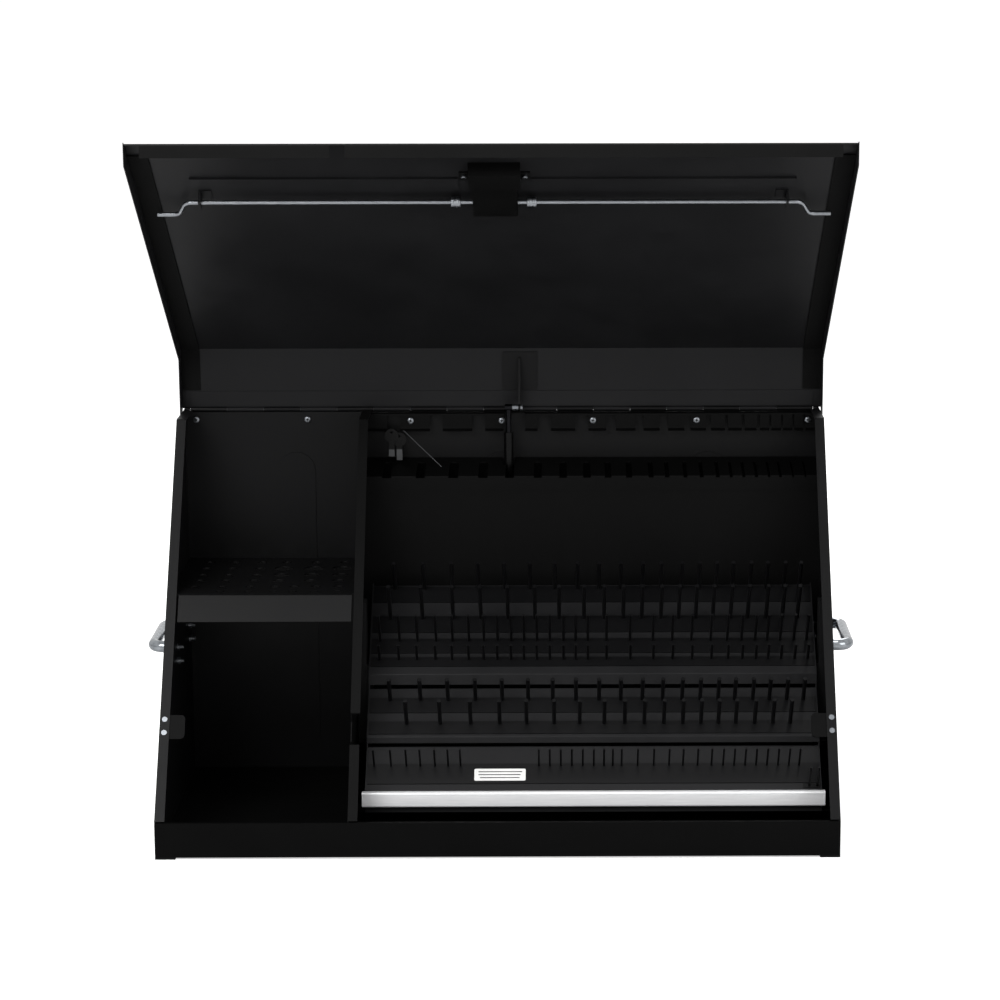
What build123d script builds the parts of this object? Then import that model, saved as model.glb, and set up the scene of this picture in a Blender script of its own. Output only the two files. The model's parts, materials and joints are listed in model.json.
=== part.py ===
from build123d import *
import math
import os

# A sloped-front tool chest with a socket organizer, its lid held open.
# Millimetres. X runs to the right, Y to the back, Z up, with Z = 0 at the floor.
# Side profiles are given as (back, up): back from the case's front face, up from the floor.

# Case
CASE_WIDTH = 914.4
CASE_DEPTH = 428.0
CASE_HEIGHT = 538.0
TOP_DEPTH = 88.0
BAND_HEIGHT = 50.0
SHEET = 1.5
BEND_RADIUS = 2.5
HEM_DEPTH = 6.0
CATCH_SCREW_X = CASE_WIDTH / 2 - 6.7
CATCH_SCREW_UPS = (155.0, 170.5)
SKID_WIDTH = 27.0
SKID_HEIGHT = 2.5
FLANGE_WIDTH = 13.5
PAD_WIDTH = 54.0
PAD_PITCH = 0.3248 * CASE_WIDTH
PAD_BOTTOM = 34.0
PAD_TOP = CASE_HEIGHT - 63.0
PAD_RISE = 1.5

# Divider and shelf
DIVIDER_X = -0.21872 * CASE_WIDTH
DIVIDER_FLANGE = 11.5
NOTCH_UP = 158.7
NOTCH_LENGTH = 28.0
NOTCH_DEPTH = 12.0
NOTCH_BEVEL = 8.7
SHELF_UP = CASE_HEIGHT - 219.0
SHELF_LIP = 40.0
SHELF_END_GAP = 3.0

# Wrench racks and rear panel
RACK_FACE_BACK = CASE_DEPTH - 14.5
RACK_TOP = CASE_HEIGHT - 4.5
RACK_LIP_UP = CASE_HEIGHT - 26.5
RACK_LIP_REACH = 4.0
RACK_LIP_DROP = 2.5
RACK_END_X = CASE_WIDTH / 2 - 7.2
RACK_SLOT_TOP = CASE_HEIGHT - 7.5
LOWER_RACK_REAR_UP = CASE_HEIGHT - 71.0
LOWER_RACK_FRONT = (CASE_DEPTH - 78.0, CASE_HEIGHT - 84.2)
LOWER_RACK_LIP_END = CASE_HEIGHT - 106.0
LOWER_SLOT_REAR = CASE_DEPTH - 22.0
LOWER_SLOT_DROP = 3.0
REAR_PANEL_BOTTOM = 250.0
REAR_PANEL_LAP = 13.0

# Socket organizer
ORGANIZER_GAP = 16.1
TRAY_ANGLE = 41.0
TRAY_TOPS = ((CASE_DEPTH - 110.0, 305.0), (CASE_DEPTH - 224.0, 184.3), (CASE_DEPTH - 282.0, 117.2))
TRAY_LENGTHS = (156.9, 84.7, 76.2)
TRAY_REAR_DROP = 14.0
ORGANIZER_BOTTOM = 37.4
SIDE_FOOT_LENGTH = 62.0
SIDE_REAR_DROP = 115.0
BAR_THICKNESS = 1.2
PULL_DEPTH = 8.0
PULL_HEIGHT = 20.8
PULL_UP = 46.4
PULL_OVERHANG = 3.75
PULL_WALL = 2.0

# Tray guides
GUIDE_BACK = CASE_DEPTH - 198.0
GUIDE_WIDTH = 30.0
GUIDE_BOTTOM = 100.0
GUIDE_TOP = 300.0
GUIDE_FLANGE = 12.5
RUNNER_LENGTH = 60.0
RUNNER_TOP = 212.0
RUN_GAP = 0.3
REST_WIDTH = 34.0
REST_BACK = CASE_DEPTH - 316.0

# Lid
LID_SHEET = 1.2
LID_SIDE_GAP = 2.3
LID_SIDE_DEPTH = 25.0
LID_SIDE_TAIL = 9.0
LID_FRONT_DEPTH = 20.0
SEAL_GAP = 3.2
FRONT_GAP = 2.8
CUTBACK_GAP = 0.7
CUTBACK_SIDE_GAP = 3.0
SEAL_THICKNESS = 2.4
SEAL_WIDTH = 26.0
SEAL_START = 30.0
LID_OPEN_ANGLE = 88.85

# Piano hinge
BARREL_RADIUS = 3.2
HINGE_PIN_RADIUS = 1.6
PIN_GAP = 0.05
LEAF = 1.2
LEAF_WIDTH = 26.0
HINGE_HALF_LENGTH = CASE_WIDTH / 2 - 9.2
KNUCKLES = 17
KNUCKLE_GAP = 0.4
HINGE_SCREW_UP = CASE_HEIGHT - 15.0
SCREW_RADIUS = 2.2
SCREW_HEAD_RADIUS = 4.5
SCREW_HEAD_HEIGHT = 2.6
SCREW_HOLE_GAP = 0.1
NUT_HEIGHT = 3.0

# Latch on the lid, distances from the lid's front edge
HOUSING_X = 2.0
HOUSING_WIDTH = 66.0
HOUSING_START = 51.0
HOUSING_STEP = 84.0
HOUSING_END = 166.0
HOUSING_DEPTH = 20.0
STEP_DEPTH = 16.0
STEP_INSET = 4.0
HOUSING_WALL = 1.6
LATCH_EAR = 12.0
LATCH_EAR_HALF = 9.0
LATCH_EAR_THICKNESS = 2.0
LATCH_SCREW_STATION = 83.0
PADDLE_WIDTH = 52.0
PADDLE_START = 61.0
PADDLE_END = 107.0
PADDLE_THICKNESS = 2.0
PADDLE_GAP = 1.0
PADDLE_SWING_ROOM = 4.0
PADDLE_AXIS = 102.0
PADDLE_AXIS_DEPTH = 6.0
PADDLE_AXLE_RADIUS = 2.5
PADDLE_FIT_GAP = 0.08
KEY_LOCK_RADIUS = 6.0
ROD_RADIUS = 3.0
ROD_DEPTH = 12.0
ROD_STATION = 136.0
ROD_END_STATION = 168.0
ROD_INNER_X = 20.0
ROD_CLAMP_X = 43.0
ROD_BEND_X = CASE_WIDTH / 2 - 65.2
ROD_LEVEL_X = CASE_WIDTH / 2 - 45.2
ROD_END_X = CASE_WIDTH / 2 - 19.7
ROD_BEND_RADIUS = 11.0
ROD_CLAMP = 12.0
ROD_GUIDE_X = CASE_WIDTH / 2 - 77.2
ROD_GUIDE_THICKNESS = 2.5
STIFFENER_STATION = 100.0
STIFFENER_WIDTH = 22.0
STIFFENER_RISE = 3.0
STIFFENER_END_X = CASE_WIDTH / 2 - 69.2

# Gas strut
STRUT_X = 10.0
STRUT_FOOT = (CASE_DEPTH - 26.0, CASE_HEIGHT - 268.0)
STRUT_EYE = (CASE_DEPTH - 26.0, CASE_HEIGHT + 5.7)
STRUT_ROD_LENGTH = 95.0
STRUT_RADIUS = 6.8
STRUT_ROD_RADIUS = 4.0
STRUT_EYE_RADIUS = 5.0
STRUT_EYE_WIDTH = 10.0
STRUT_PIN_RADIUS = 3.0
STRUT_CYLINDER_LENGTH = 238.0
STRUT_BORE_DEPTH = 100.0
STUD_RADIUS = 3.0
STUD_COLLAR_RADIUS = 4.4
TAB_X = 24.0
TAB_THICKNESS = 3.0
TAB_TIP_RADIUS = 4.8
BRACKET_WIDTH = 50.0
STRUT_CLEARANCE = 2.5

# Side handles
HANDLE_FRONT = CASE_DEPTH - 158.0
HANDLE_REAR = CASE_DEPTH - 26.0
HANDLE_UP = 225.4
HANDLE_REACH = 33.0
HANDLE_RADIUS = 8.2
HANDLE_BEND_RADIUS = 16.0
HANDLE_PLATE = 3.0
HANDLE_PLATE_WIDTH = 30.0
HANDLE_BOLT_UP = 205.0
HANDLE_BOLT_RADIUS = 3.0
BOLT_HEAD_EXTRA = 2.2
BOLT_HEAD_HEIGHT = 3.5

# Worked-out sizes
HALF = CASE_WIDTH / 2
INNER = HALF - SHEET
SLOPE_BACK = CASE_DEPTH - TOP_DEPTH
SLOPE_ANGLE = math.degrees(math.atan2(CASE_HEIGHT - BAND_HEIGHT, SLOPE_BACK))
SLOPE_COS = math.cos(math.radians(SLOPE_ANGLE))
SLOPE_SIN = math.sin(math.radians(SLOPE_ANGLE))
SLOPE_RATE = SLOPE_SIN / SLOPE_COS
FLOOR_TOP = SKID_HEIGHT + SHEET
WALL_FACE = CASE_DEPTH - SHEET
HINGE_AXIS = (CASE_DEPTH + LEAF - BARREL_RADIUS, CASE_HEIGHT)
BACK_PANEL_TOP = CASE_HEIGHT - BARREL_RADIUS - 1.0
FLANGE_END = HINGE_AXIS[0] - BARREL_RADIUS - 6.0
BAY_LEFT = DIVIDER_X + SHEET
BAY_RIGHT = INNER
ORGANIZER_LEFT = BAY_LEFT + ORGANIZER_GAP
ORGANIZER_RIGHT = BAY_RIGHT - ORGANIZER_GAP
LID_HALF = HALF + LID_SIDE_GAP + LID_SHEET
OPEN_COS = math.cos(math.radians(LID_OPEN_ANGLE))
OPEN_SIN = math.sin(math.radians(LID_OPEN_ANGLE))


def across(place):
    """X of a place across the case, given in thousandths of its width from the middle."""
    return place * CASE_WIDTH / 1000


def slope_up(back):
    """Height of the sloped front at a distance behind the front face."""
    return BAND_HEIGHT + back * SLOPE_RATE


def slope_back(up):
    """Distance behind the front face of the sloped front at a height."""
    return (up - BAND_HEIGHT) / SLOPE_RATE


def turned(back, up):
    """A point of the closed lid, turned open about the hinge axis."""
    b = back - HINGE_AXIS[0]
    u = up - HINGE_AXIS[1]
    return (HINGE_AXIS[0] + b * OPEN_COS + u * OPEN_SIN, HINGE_AXIS[1] - b * OPEN_SIN + u * OPEN_COS)


HINGE_SCREW_XS = [across(place) for place in (-481.19, -306.21, -143.26, 0, 143.26, 306.21, 481.19)]

# The closed lid's outer line lies one gap and one sheet outside the case's slope and top.
LID_OFFSET = SEAL_GAP + LID_SHEET
LID_TOP = CASE_HEIGHT + LID_OFFSET
LID_BEND_BACK = SLOPE_BACK - LID_OFFSET * math.tan(math.radians(SLOPE_ANGLE / 2))
LID_FRONT_UP = BAND_HEIGHT + FRONT_GAP
LID_FRONT_BACK = LID_BEND_BACK - (LID_TOP - LID_FRONT_UP) / SLOPE_RATE
LID_REAR_BACK = HINGE_AXIS[0] - 1.0

# The origin is midway between the open lid's front corner and the hinge screws' nuts.
CORNER_UP = LID_FRONT_UP + BEND_RADIUS
CORNER_BACK = LID_FRONT_BACK + BEND_RADIUS * (1 + SLOPE_COS) / SLOPE_SIN
FRONT_REACH = turned(CORNER_BACK, CORNER_UP)[0] - BEND_RADIUS
REAR_REACH = CASE_DEPTH + LEAF + NUT_HEIGHT
ORIGIN_BACK = (FRONT_REACH + REAR_REACH) / 2


def spot(back, up):
    """A point of the side profile, in the part's own frame."""
    return (back - ORIGIN_BACK, up)


def spots(points):
    """Points of the side profile, in the part's own frame."""
    return [spot(*point) for point in points]


def slab(x_range, back_range, up_range, mode=Mode.ADD):
    """A block between two values on each axis, in the part that is being built."""
    lows = (x_range[0], back_range[0] - ORIGIN_BACK, up_range[0])
    highs = (x_range[1], back_range[1] - ORIGIN_BACK, up_range[1])
    middle = [(low + high) / 2 for low, high in zip(lows, highs)]
    lengths = [high - low for low, high in zip(lows, highs)]
    with Locations(tuple(middle)):
        Box(*lengths, mode=mode)


def round_bar(start, end, radius, mode=Mode.ADD):
    """A round bar between two (x, back, up) points, in the part that is being built."""
    foot = Vector(start[0], start[1] - ORIGIN_BACK, start[2])
    along = Vector(end[0], end[1] - ORIGIN_BACK, end[2]) - foot
    with Locations(Plane(origin=foot, z_dir=along)):
        Cylinder(radius, along.length, align=(Align.CENTER, Align.CENTER, Align.MIN), mode=mode)


def side_plate(points, x_start, x_end):
    """A plate with a side-profile outline, standing between two X values."""
    with BuildPart() as plate:
        with BuildSketch(Plane.YZ.offset(x_start)):
            with BuildLine():
                Polyline(*spots(points), close=True)
            make_face()
        extrude(amount=x_end - x_start)
    return plate.part


def folded_sheet(points, gauge, x_start, x_end, side=Side.LEFT):
    """A sheet folded along a side-profile line, running from one X value to another."""
    with BuildPart() as sheet:
        with BuildSketch(Plane.YZ.offset(x_start)):
            with BuildLine():
                FilletPolyline(*spots(points), radius=BEND_RADIUS)
                offset(amount=gauge, side=side)
            make_face()
        extrude(amount=x_end - x_start)
    return sheet.part


def save(name, part):
    """Labels a finished piece and writes its file."""
    part.label = name
    export_step(part, f"parts/{name}.step")


os.makedirs("parts", exist_ok=True)

# ---------------------------------------------------------------- case

SIDE_OUTLINE = (
    (SHEET, SKID_HEIGHT),
    (SHEET, slope_up(SHEET)),
    (SLOPE_BACK, CASE_HEIGHT),
    (CASE_DEPTH, CASE_HEIGHT),
    (CASE_DEPTH, SKID_HEIGHT),
)
SIDE_FLANGE_LINE = ((SHEET, slope_up(SHEET)), (SLOPE_BACK, CASE_HEIGHT), (FLANGE_END, CASE_HEIGHT))
SLOPE_PLANE = Plane(
    origin=(0, -ORIGIN_BACK, BAND_HEIGHT), x_dir=(1, 0, 0), z_dir=(0, -SLOPE_SIN, SLOPE_COS)
)


def up_slope(up):
    """Distance up the slope of a point at a given height."""
    return (up - BAND_HEIGHT) / SLOPE_SIN


for side_name, sign in (("left", -1), ("right", 1)):
    wall_plate = side_plate(SIDE_OUTLINE, *sorted((sign * INNER, sign * HALF)))
    wall_flange = folded_sheet(
        SIDE_FLANGE_LINE, SHEET, *sorted((sign * (HALF - FLANGE_WIDTH), sign * INNER)), side=Side.RIGHT
    )
    with BuildPart() as side_panel:
        add(wall_plate)
        add(wall_flange)
        for bolt_back in (HANDLE_FRONT, HANDLE_REAR):
            for bolt_up in (HANDLE_BOLT_UP, HANDLE_UP):
                round_bar(
                    (sign * (INNER - 1), bolt_back, bolt_up),
                    (sign * (HALF + 1), bolt_back, bolt_up),
                    HANDLE_BOLT_RADIUS + SCREW_HOLE_GAP,
                    Mode.SUBTRACT,
                )
        with BuildSketch(SLOPE_PLANE.offset(1)):
            with Locations(*[(sign * CATCH_SCREW_X, up_slope(up)) for up in CATCH_SCREW_UPS]):
                Circle(SCREW_RADIUS + SCREW_HOLE_GAP)
        extrude(amount=-SHEET - 2, mode=Mode.SUBTRACT)
    save(f"{side_name}_side_panel", side_panel.part)

with BuildPart() as floor_pan:
    slab((-HALF, HALF), (0, SHEET), (SKID_HEIGHT, BAND_HEIGHT))
    slab((-INNER, INNER), (SHEET, HEM_DEPTH), (BAND_HEIGHT - SHEET, BAND_HEIGHT))
    slab((-INNER, INNER), (SHEET, WALL_FACE), (SKID_HEIGHT, FLOOR_TOP))
save("floor_pan", floor_pan.part)

with BuildPart() as skids:
    for sign in (-1, 1):
        slab(sorted((sign * (HALF - SKID_WIDTH), sign * HALF)), (0, CASE_DEPTH), (0, SKID_HEIGHT))
save("skids", skids.part)

with BuildPart() as back_panel:
    slab((-INNER, INNER), (WALL_FACE, CASE_DEPTH), (SKID_HEIGHT, BACK_PANEL_TOP))
    pad_middle = (PAD_BOTTOM + PAD_TOP) / 2
    with BuildSketch(Plane.XZ.offset(ORIGIN_BACK - WALL_FACE)):
        with Locations(*[(step * PAD_PITCH, pad_middle) for step in (-1, 0, 1)]):
            SlotOverall(PAD_TOP - PAD_BOTTOM, PAD_WIDTH, rotation=90)
    extrude(amount=PAD_RISE)
    with BuildSketch(Plane.XZ.offset(ORIGIN_BACK - CASE_DEPTH)):
        with Locations(*[(step * PAD_PITCH, pad_middle) for step in (-1, 0, 1)]):
            SlotOverall(PAD_TOP - PAD_BOTTOM - 2 * SHEET, PAD_WIDTH - 2 * SHEET, rotation=90)
    extrude(amount=PAD_RISE, mode=Mode.SUBTRACT)
    for x in HINGE_SCREW_XS:
        round_bar(
            (x, WALL_FACE - 1, HINGE_SCREW_UP),
            (x, CASE_DEPTH + 1, HINGE_SCREW_UP),
            SCREW_RADIUS + SCREW_HOLE_GAP,
            Mode.SUBTRACT,
        )
save("back_panel", back_panel.part)

NOTCH_LINE = (
    (-NOTCH_LENGTH / 2 - NOTCH_BEVEL, 1.0),
    (-NOTCH_LENGTH / 2 - NOTCH_BEVEL, 0.0),
    (-NOTCH_LENGTH / 2, -NOTCH_DEPTH),
    (NOTCH_LENGTH / 2, -NOTCH_DEPTH),
    (NOTCH_LENGTH / 2 + NOTCH_BEVEL, 0.0),
    (NOTCH_LENGTH / 2 + NOTCH_BEVEL, 1.0),
)
DIVIDER_OUTLINE = (
    (HEM_DEPTH + RUN_GAP, FLOOR_TOP),
    (HEM_DEPTH + RUN_GAP, BAND_HEIGHT),
    (SHEET, BAND_HEIGHT),
    (SHEET, slope_up(SHEET)),
    (SLOPE_BACK, CASE_HEIGHT),
    (FLANGE_END, CASE_HEIGHT),
    (FLANGE_END, BACK_PANEL_TOP - 4),
    (WALL_FACE, BACK_PANEL_TOP - 4),
    (WALL_FACE, FLOOR_TOP),
)
divider_plate = side_plate(DIVIDER_OUTLINE, DIVIDER_X, BAY_LEFT)
divider_flange = folded_sheet(
    SIDE_FLANGE_LINE, SHEET, BAY_LEFT, BAY_LEFT + DIVIDER_FLANGE, side=Side.RIGHT
)
with BuildPart() as divider:
    add(divider_plate)
    add(divider_flange)
    notch_plane = Plane(
        origin=(DIVIDER_X - 1, slope_back(NOTCH_UP) - ORIGIN_BACK, NOTCH_UP),
        x_dir=(0, SLOPE_COS, SLOPE_SIN),
        z_dir=(1, 0, 0),
    )
    with BuildSketch(notch_plane):
        with BuildLine():
            Polyline(*NOTCH_LINE, close=True)
        make_face()
    extrude(amount=SHEET + DIVIDER_FLANGE + 2, mode=Mode.SUBTRACT)
save("divider", divider.part)

# Shelf with rows of screwdriver holes: (share of the shelf's depth from its front, columns, diameters)
COLUMNS = [across(place) for place in (-460.41, -421.04, -378.39, -340.11, -293.09, -249.34)]
FINE_COLUMNS = [
    across(place) for place in (-463.69, -422.13, -379.48, -342.3, -312.77, -279.97, -246.06)
]
SHELF_ROWS = (
    (0.878, COLUMNS, (14, 14, 14, 14, 14, 14)),
    (0.7054, COLUMNS, (14, 14, 14, 28, 28, 28)),
    (0.5244, COLUMNS, (14, 14, 14, 22, 22, 22)),
    (0.3729, COLUMNS, (14, 14, 14, 17.5, 17.5, 17.5)),
    (0.2088, FINE_COLUMNS, (14,) * 7),
    (0.0867, FINE_COLUMNS[1:], (12,) * 6),
)
SHELF_FRONT = slope_back(SHELF_UP)
SHELF_LEFT = -HALF + FLANGE_WIDTH + SHELF_END_GAP
SHELF_RIGHT = DIVIDER_X - SHELF_END_GAP
SHELF_LINE = (
    (WALL_FACE - PAD_RISE, SHELF_UP),
    (SHELF_FRONT, SHELF_UP),
    (SHELF_FRONT - SHELF_LIP * SLOPE_COS, SHELF_UP - SHELF_LIP * SLOPE_SIN),
)
shelf_sheet = folded_sheet(SHELF_LINE, SHEET, SHELF_LEFT, SHELF_RIGHT)
with BuildPart() as screwdriver_shelf:
    add(shelf_sheet)
    slab(
        (-INNER, DIVIDER_X),
        (SHELF_FRONT + 2 * BEND_RADIUS, WALL_FACE - PAD_RISE),
        (SHELF_UP - SHEET, SHELF_UP),
    )
    with BuildSketch(Plane.XY.offset(SHELF_UP + 1)):
        for row_share, row_columns, row_diameters in SHELF_ROWS:
            row_back = SHELF_FRONT + row_share * (WALL_FACE - PAD_RISE - SHELF_FRONT)
            for column, diameter in zip(row_columns, row_diameters):
                with Locations((column, row_back - ORIGIN_BACK)):
                    Circle(diameter / 2)
    extrude(amount=-SHEET - 2, mode=Mode.SUBTRACT)
save("screwdriver_shelf", screwdriver_shelf.part)

# Upper wrench rack: a ledge from the back wall, a face and a lip, slotted from below
UPPER_SLOTS = (
    (-169.51, 18.5), (-102.8, 18.5), (-36.09, 18.5), (66.71, 19.0), (125.77, 19.0), (171.7, 13.5),
    (216.54, 11.5), (254.81, 12.0), (291.99, 9.0), (324.8, 7.0), (353.24, 4.5), (379.48, 4.5),
    (403.54, 4.5), (422.13, 3.0), (440.73, 3.0), (458.22, 3.0), (475.72, 3.0),
)
UPPER_RACK_LINE = (
    (WALL_FACE, RACK_TOP),
    (RACK_FACE_BACK, RACK_TOP),
    (RACK_FACE_BACK, RACK_LIP_UP),
    (RACK_FACE_BACK - RACK_LIP_REACH, RACK_LIP_UP - RACK_LIP_DROP),
)
STRUT_NOTCH_LEFT = STRUT_X - STRUT_RADIUS - 0.7
STRUT_NOTCH_RIGHT = TAB_X + TAB_THICKNESS + 6.5
upper_rack_sheet = folded_sheet(UPPER_RACK_LINE, SHEET, BAY_LEFT, RACK_END_X)
RACK_FRONT = RACK_FACE_BACK - RACK_LIP_REACH - SHEET - 1
RACK_UNDERSIDE = RACK_LIP_UP - RACK_LIP_DROP - SHEET - 1
with BuildPart() as upper_wrench_rack:
    add(upper_rack_sheet)
    for slot_place, slot_width in UPPER_SLOTS:
        slot_x = across(slot_place)
        slab(
            (slot_x - slot_width / 2, slot_x + slot_width / 2),
            (RACK_FRONT, RACK_FACE_BACK + SHEET + 1),
            (RACK_UNDERSIDE, RACK_SLOT_TOP),
            Mode.SUBTRACT,
        )
    slab(
        (STRUT_NOTCH_LEFT, STRUT_NOTCH_RIGHT),
        (RACK_FRONT, RACK_FACE_BACK + 7),
        (RACK_UNDERSIDE, RACK_TOP + 1),
        Mode.SUBTRACT,
    )
    for x in HINGE_SCREW_XS[2:]:
        round_bar(
            (x, RACK_FRONT, HINGE_SCREW_UP),
            (x, WALL_FACE, HINGE_SCREW_UP),
            SCREW_RADIUS + SCREW_HOLE_GAP,
            Mode.SUBTRACT,
        )
save("upper_wrench_rack", upper_wrench_rack.part)

# Lower wrench rack: slots run from near the back wall over the front bend
LOWER_SLOTS = (
    (-178.26, 12.7), (-125.77, 12.7), (-74.37, 14.0), (-28.43, 13.4), (13.12, 12.7), (56.87, 11.3),
    (96.24, 10.6), (133.42, 10.6), (166.23, 9.2), (199.04, 8.5), (232.94, 7.0), (258.09, 6.3),
    (286.53, 5.6), (311.68, 5.6), (336.83, 5.0), (357.61, 4.2), (377.3, 4.2), (396.98, 4.2),
    (416.67, 3.5), (434.16, 3.5), (453.85, 2.8), (473.53, 2.8),
)
LOWER_RACK_LINE = (
    (WALL_FACE - PAD_RISE - RUN_GAP, LOWER_RACK_REAR_UP),
    LOWER_RACK_FRONT,
    (LOWER_RACK_FRONT[0], LOWER_RACK_LIP_END),
)
SLOT_FRONT = LOWER_RACK_FRONT[0] - 20
lower_rack_sheet = folded_sheet(LOWER_RACK_LINE, SHEET, BAY_LEFT, BAY_RIGHT)
with BuildPart() as lower_wrench_rack:
    add(lower_rack_sheet)
    with BuildSketch(Plane.XY.offset(LOWER_RACK_FRONT[1] - LOWER_SLOT_DROP)):
        for slot_place, slot_width in LOWER_SLOTS:
            with Locations((across(slot_place), (SLOT_FRONT + LOWER_SLOT_REAR) / 2 - ORIGIN_BACK)):
                SlotOverall(LOWER_SLOT_REAR - SLOT_FRONT, slot_width, rotation=90)
    extrude(amount=LOWER_RACK_REAR_UP - LOWER_RACK_FRONT[1] + 10, mode=Mode.SUBTRACT)
    slab(
        (STRUT_X - STRUT_RADIUS - STRUT_CLEARANCE, STRUT_X + STRUT_RADIUS + STRUT_CLEARANCE),
        (STRUT_FOOT[0] - 8, WALL_FACE),
        (LOWER_RACK_FRONT[1], LOWER_RACK_REAR_UP + 5),
        Mode.SUBTRACT,
    )
save("lower_wrench_rack", lower_wrench_rack.part)

with BuildPart() as rear_panel:
    slab(
        (BAY_LEFT, BAY_RIGHT),
        (LOWER_RACK_FRONT[0] + SHEET, LOWER_RACK_FRONT[0] + 2 * SHEET),
        (REAR_PANEL_BOTTOM, LOWER_RACK_LIP_END + REAR_PANEL_LAP),
    )
save("rear_panel", rear_panel.part)

# Lid catches behind the side flanges, each held by two screws
CATCH_UP = 162.0
CATCH_LENGTH = 34.0
CATCH_INNER_X = HALF - 34.2
CATCH_THICKNESS = 2.5
for side_name, sign in (("left", -1), ("right", 1)):
    with BuildPart() as striker:
        with BuildSketch(SLOPE_PLANE.offset(-SHEET)) as catch_face:
            with Locations((sign * (CATCH_INNER_X + INNER) / 2, up_slope(CATCH_UP))):
                Rectangle(INNER - CATCH_INNER_X, CATCH_LENGTH)
            fillet(catch_face.vertices().group_by(Axis.X)[0 if sign > 0 else -1], 6)
            with Locations(*[(sign * CATCH_SCREW_X, up_slope(up)) for up in CATCH_SCREW_UPS]):
                Circle(SCREW_RADIUS + SCREW_HOLE_GAP, mode=Mode.SUBTRACT)
        extrude(amount=-CATCH_THICKNESS)
    save(f"{side_name}_striker", striker.part)

with BuildPart() as flange_screws:
    for sign in (-1, 1):
        for up in CATCH_SCREW_UPS:
            with BuildSketch(SLOPE_PLANE):
                with Locations((sign * CATCH_SCREW_X, up_slope(up))):
                    Circle(SCREW_HEAD_RADIUS - 0.8)
            extrude(amount=0.6)
            with BuildSketch(SLOPE_PLANE):
                with Locations((sign * CATCH_SCREW_X, up_slope(up))):
                    Circle(SCREW_RADIUS)
            extrude(amount=-SHEET - CATCH_THICKNESS - 2)
save("flange_screws", flange_screws.part)

# Tray guides on the divider and the right wall, and the rests below the organizer
for side_name, wall_x, sign in (("left", BAY_LEFT, 1), ("right", BAY_RIGHT, -1)):
    with BuildPart() as guide_channel:
        slab(
            sorted((wall_x, wall_x + sign * GUIDE_FLANGE)),
            (GUIDE_BACK - GUIDE_WIDTH / 2, GUIDE_BACK + GUIDE_WIDTH / 2),
            (GUIDE_BOTTOM, GUIDE_TOP),
        )
        slab(
            sorted((wall_x + sign * SHEET, wall_x + sign * (GUIDE_FLANGE + 1))),
            (GUIDE_BACK - GUIDE_WIDTH / 2 + SHEET, GUIDE_BACK + GUIDE_WIDTH / 2 - SHEET),
            (GUIDE_BOTTOM - 1, GUIDE_TOP + 1),
            Mode.SUBTRACT,
        )
    save(f"{side_name}_guide_channel", guide_channel.part)
    with BuildPart() as tray_rest:
        slab(
            sorted((wall_x, wall_x + sign * (ORGANIZER_GAP + 6))),
            (REST_BACK - REST_WIDTH / 2, REST_BACK + REST_WIDTH / 2),
            (ORGANIZER_BOTTOM - RUN_GAP - SHEET, ORGANIZER_BOTTOM - RUN_GAP),
        )
        slab(
            sorted((wall_x, wall_x + sign * SHEET)),
            (REST_BACK - REST_WIDTH / 2, REST_BACK + REST_WIDTH / 2),
            (ORGANIZER_BOTTOM - 22, ORGANIZER_BOTTOM - RUN_GAP - SHEET),
        )
    save(f"{side_name}_tray_rest", tray_rest.part)

# ---------------------------------------------------------------- organizer

TRAY_COS = math.cos(math.radians(TRAY_ANGLE))
TRAY_SIN = math.sin(math.radians(TRAY_ANGLE))


def tray_point(tray, down, rise=0.0):
    """A point a distance down a tray from its rear edge, and a rise off its face."""
    rear_back, rear_up = TRAY_TOPS[tray]
    return (rear_back - down * TRAY_COS - rise * TRAY_SIN, rear_up - down * TRAY_SIN + rise * TRAY_COS)


def tray_plane(tray):
    """The face of a tray: X across, Y up the tray from its rear edge, Z off its face."""
    rear_back, rear_up = TRAY_TOPS[tray]
    return Plane(
        origin=(0, rear_back - ORIGIN_BACK, rear_up),
        x_dir=(1, 0, 0),
        z_dir=(0, -TRAY_SIN, TRAY_COS),
    )


TRAY_FRONTS = [tray_point(tray, length) for tray, length in enumerate(TRAY_LENGTHS)]
RISER_ENDS = (TRAY_TOPS[1][1] + 3, TRAY_TOPS[2][1] + 3, ORGANIZER_BOTTOM)
TRAY_NAMES = ("upper", "middle", "lower")
for tray, tray_name in enumerate(TRAY_NAMES):
    rear_back, rear_up = TRAY_TOPS[tray]
    front_back, front_up = TRAY_FRONTS[tray]
    tray_line = (
        (rear_back, rear_up - TRAY_REAR_DROP),
        (rear_back, rear_up),
        (front_back, front_up),
        (front_back, RISER_ENDS[tray]),
    )
    tray_sheet = folded_sheet(tray_line, SHEET, ORGANIZER_LEFT + SHEET, ORGANIZER_RIGHT - SHEET)
    save(f"{tray_name}_socket_tray", tray_sheet)

ORGANIZER_SIDE_OUTLINE = (
    TRAY_TOPS[0],
    TRAY_FRONTS[0],
    (TRAY_FRONTS[0][0], tray_point(1, (TRAY_TOPS[1][0] - TRAY_FRONTS[0][0]) / TRAY_COS)[1]),
    TRAY_FRONTS[1],
    (TRAY_FRONTS[1][0], tray_point(2, (TRAY_TOPS[2][0] - TRAY_FRONTS[1][0]) / TRAY_COS)[1]),
    TRAY_FRONTS[2],
    (TRAY_FRONTS[2][0], ORGANIZER_BOTTOM),
    (TRAY_FRONTS[2][0] + SIDE_FOOT_LENGTH, ORGANIZER_BOTTOM),
    (TRAY_TOPS[0][0], TRAY_TOPS[0][1] - SIDE_REAR_DROP),
)
for side_name, x_start in (("left", ORGANIZER_LEFT), ("right", ORGANIZER_RIGHT - SHEET)):
    save(f"{side_name}_organizer_side", side_plate(ORGANIZER_SIDE_OUTLINE, x_start, x_start + SHEET))

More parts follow.
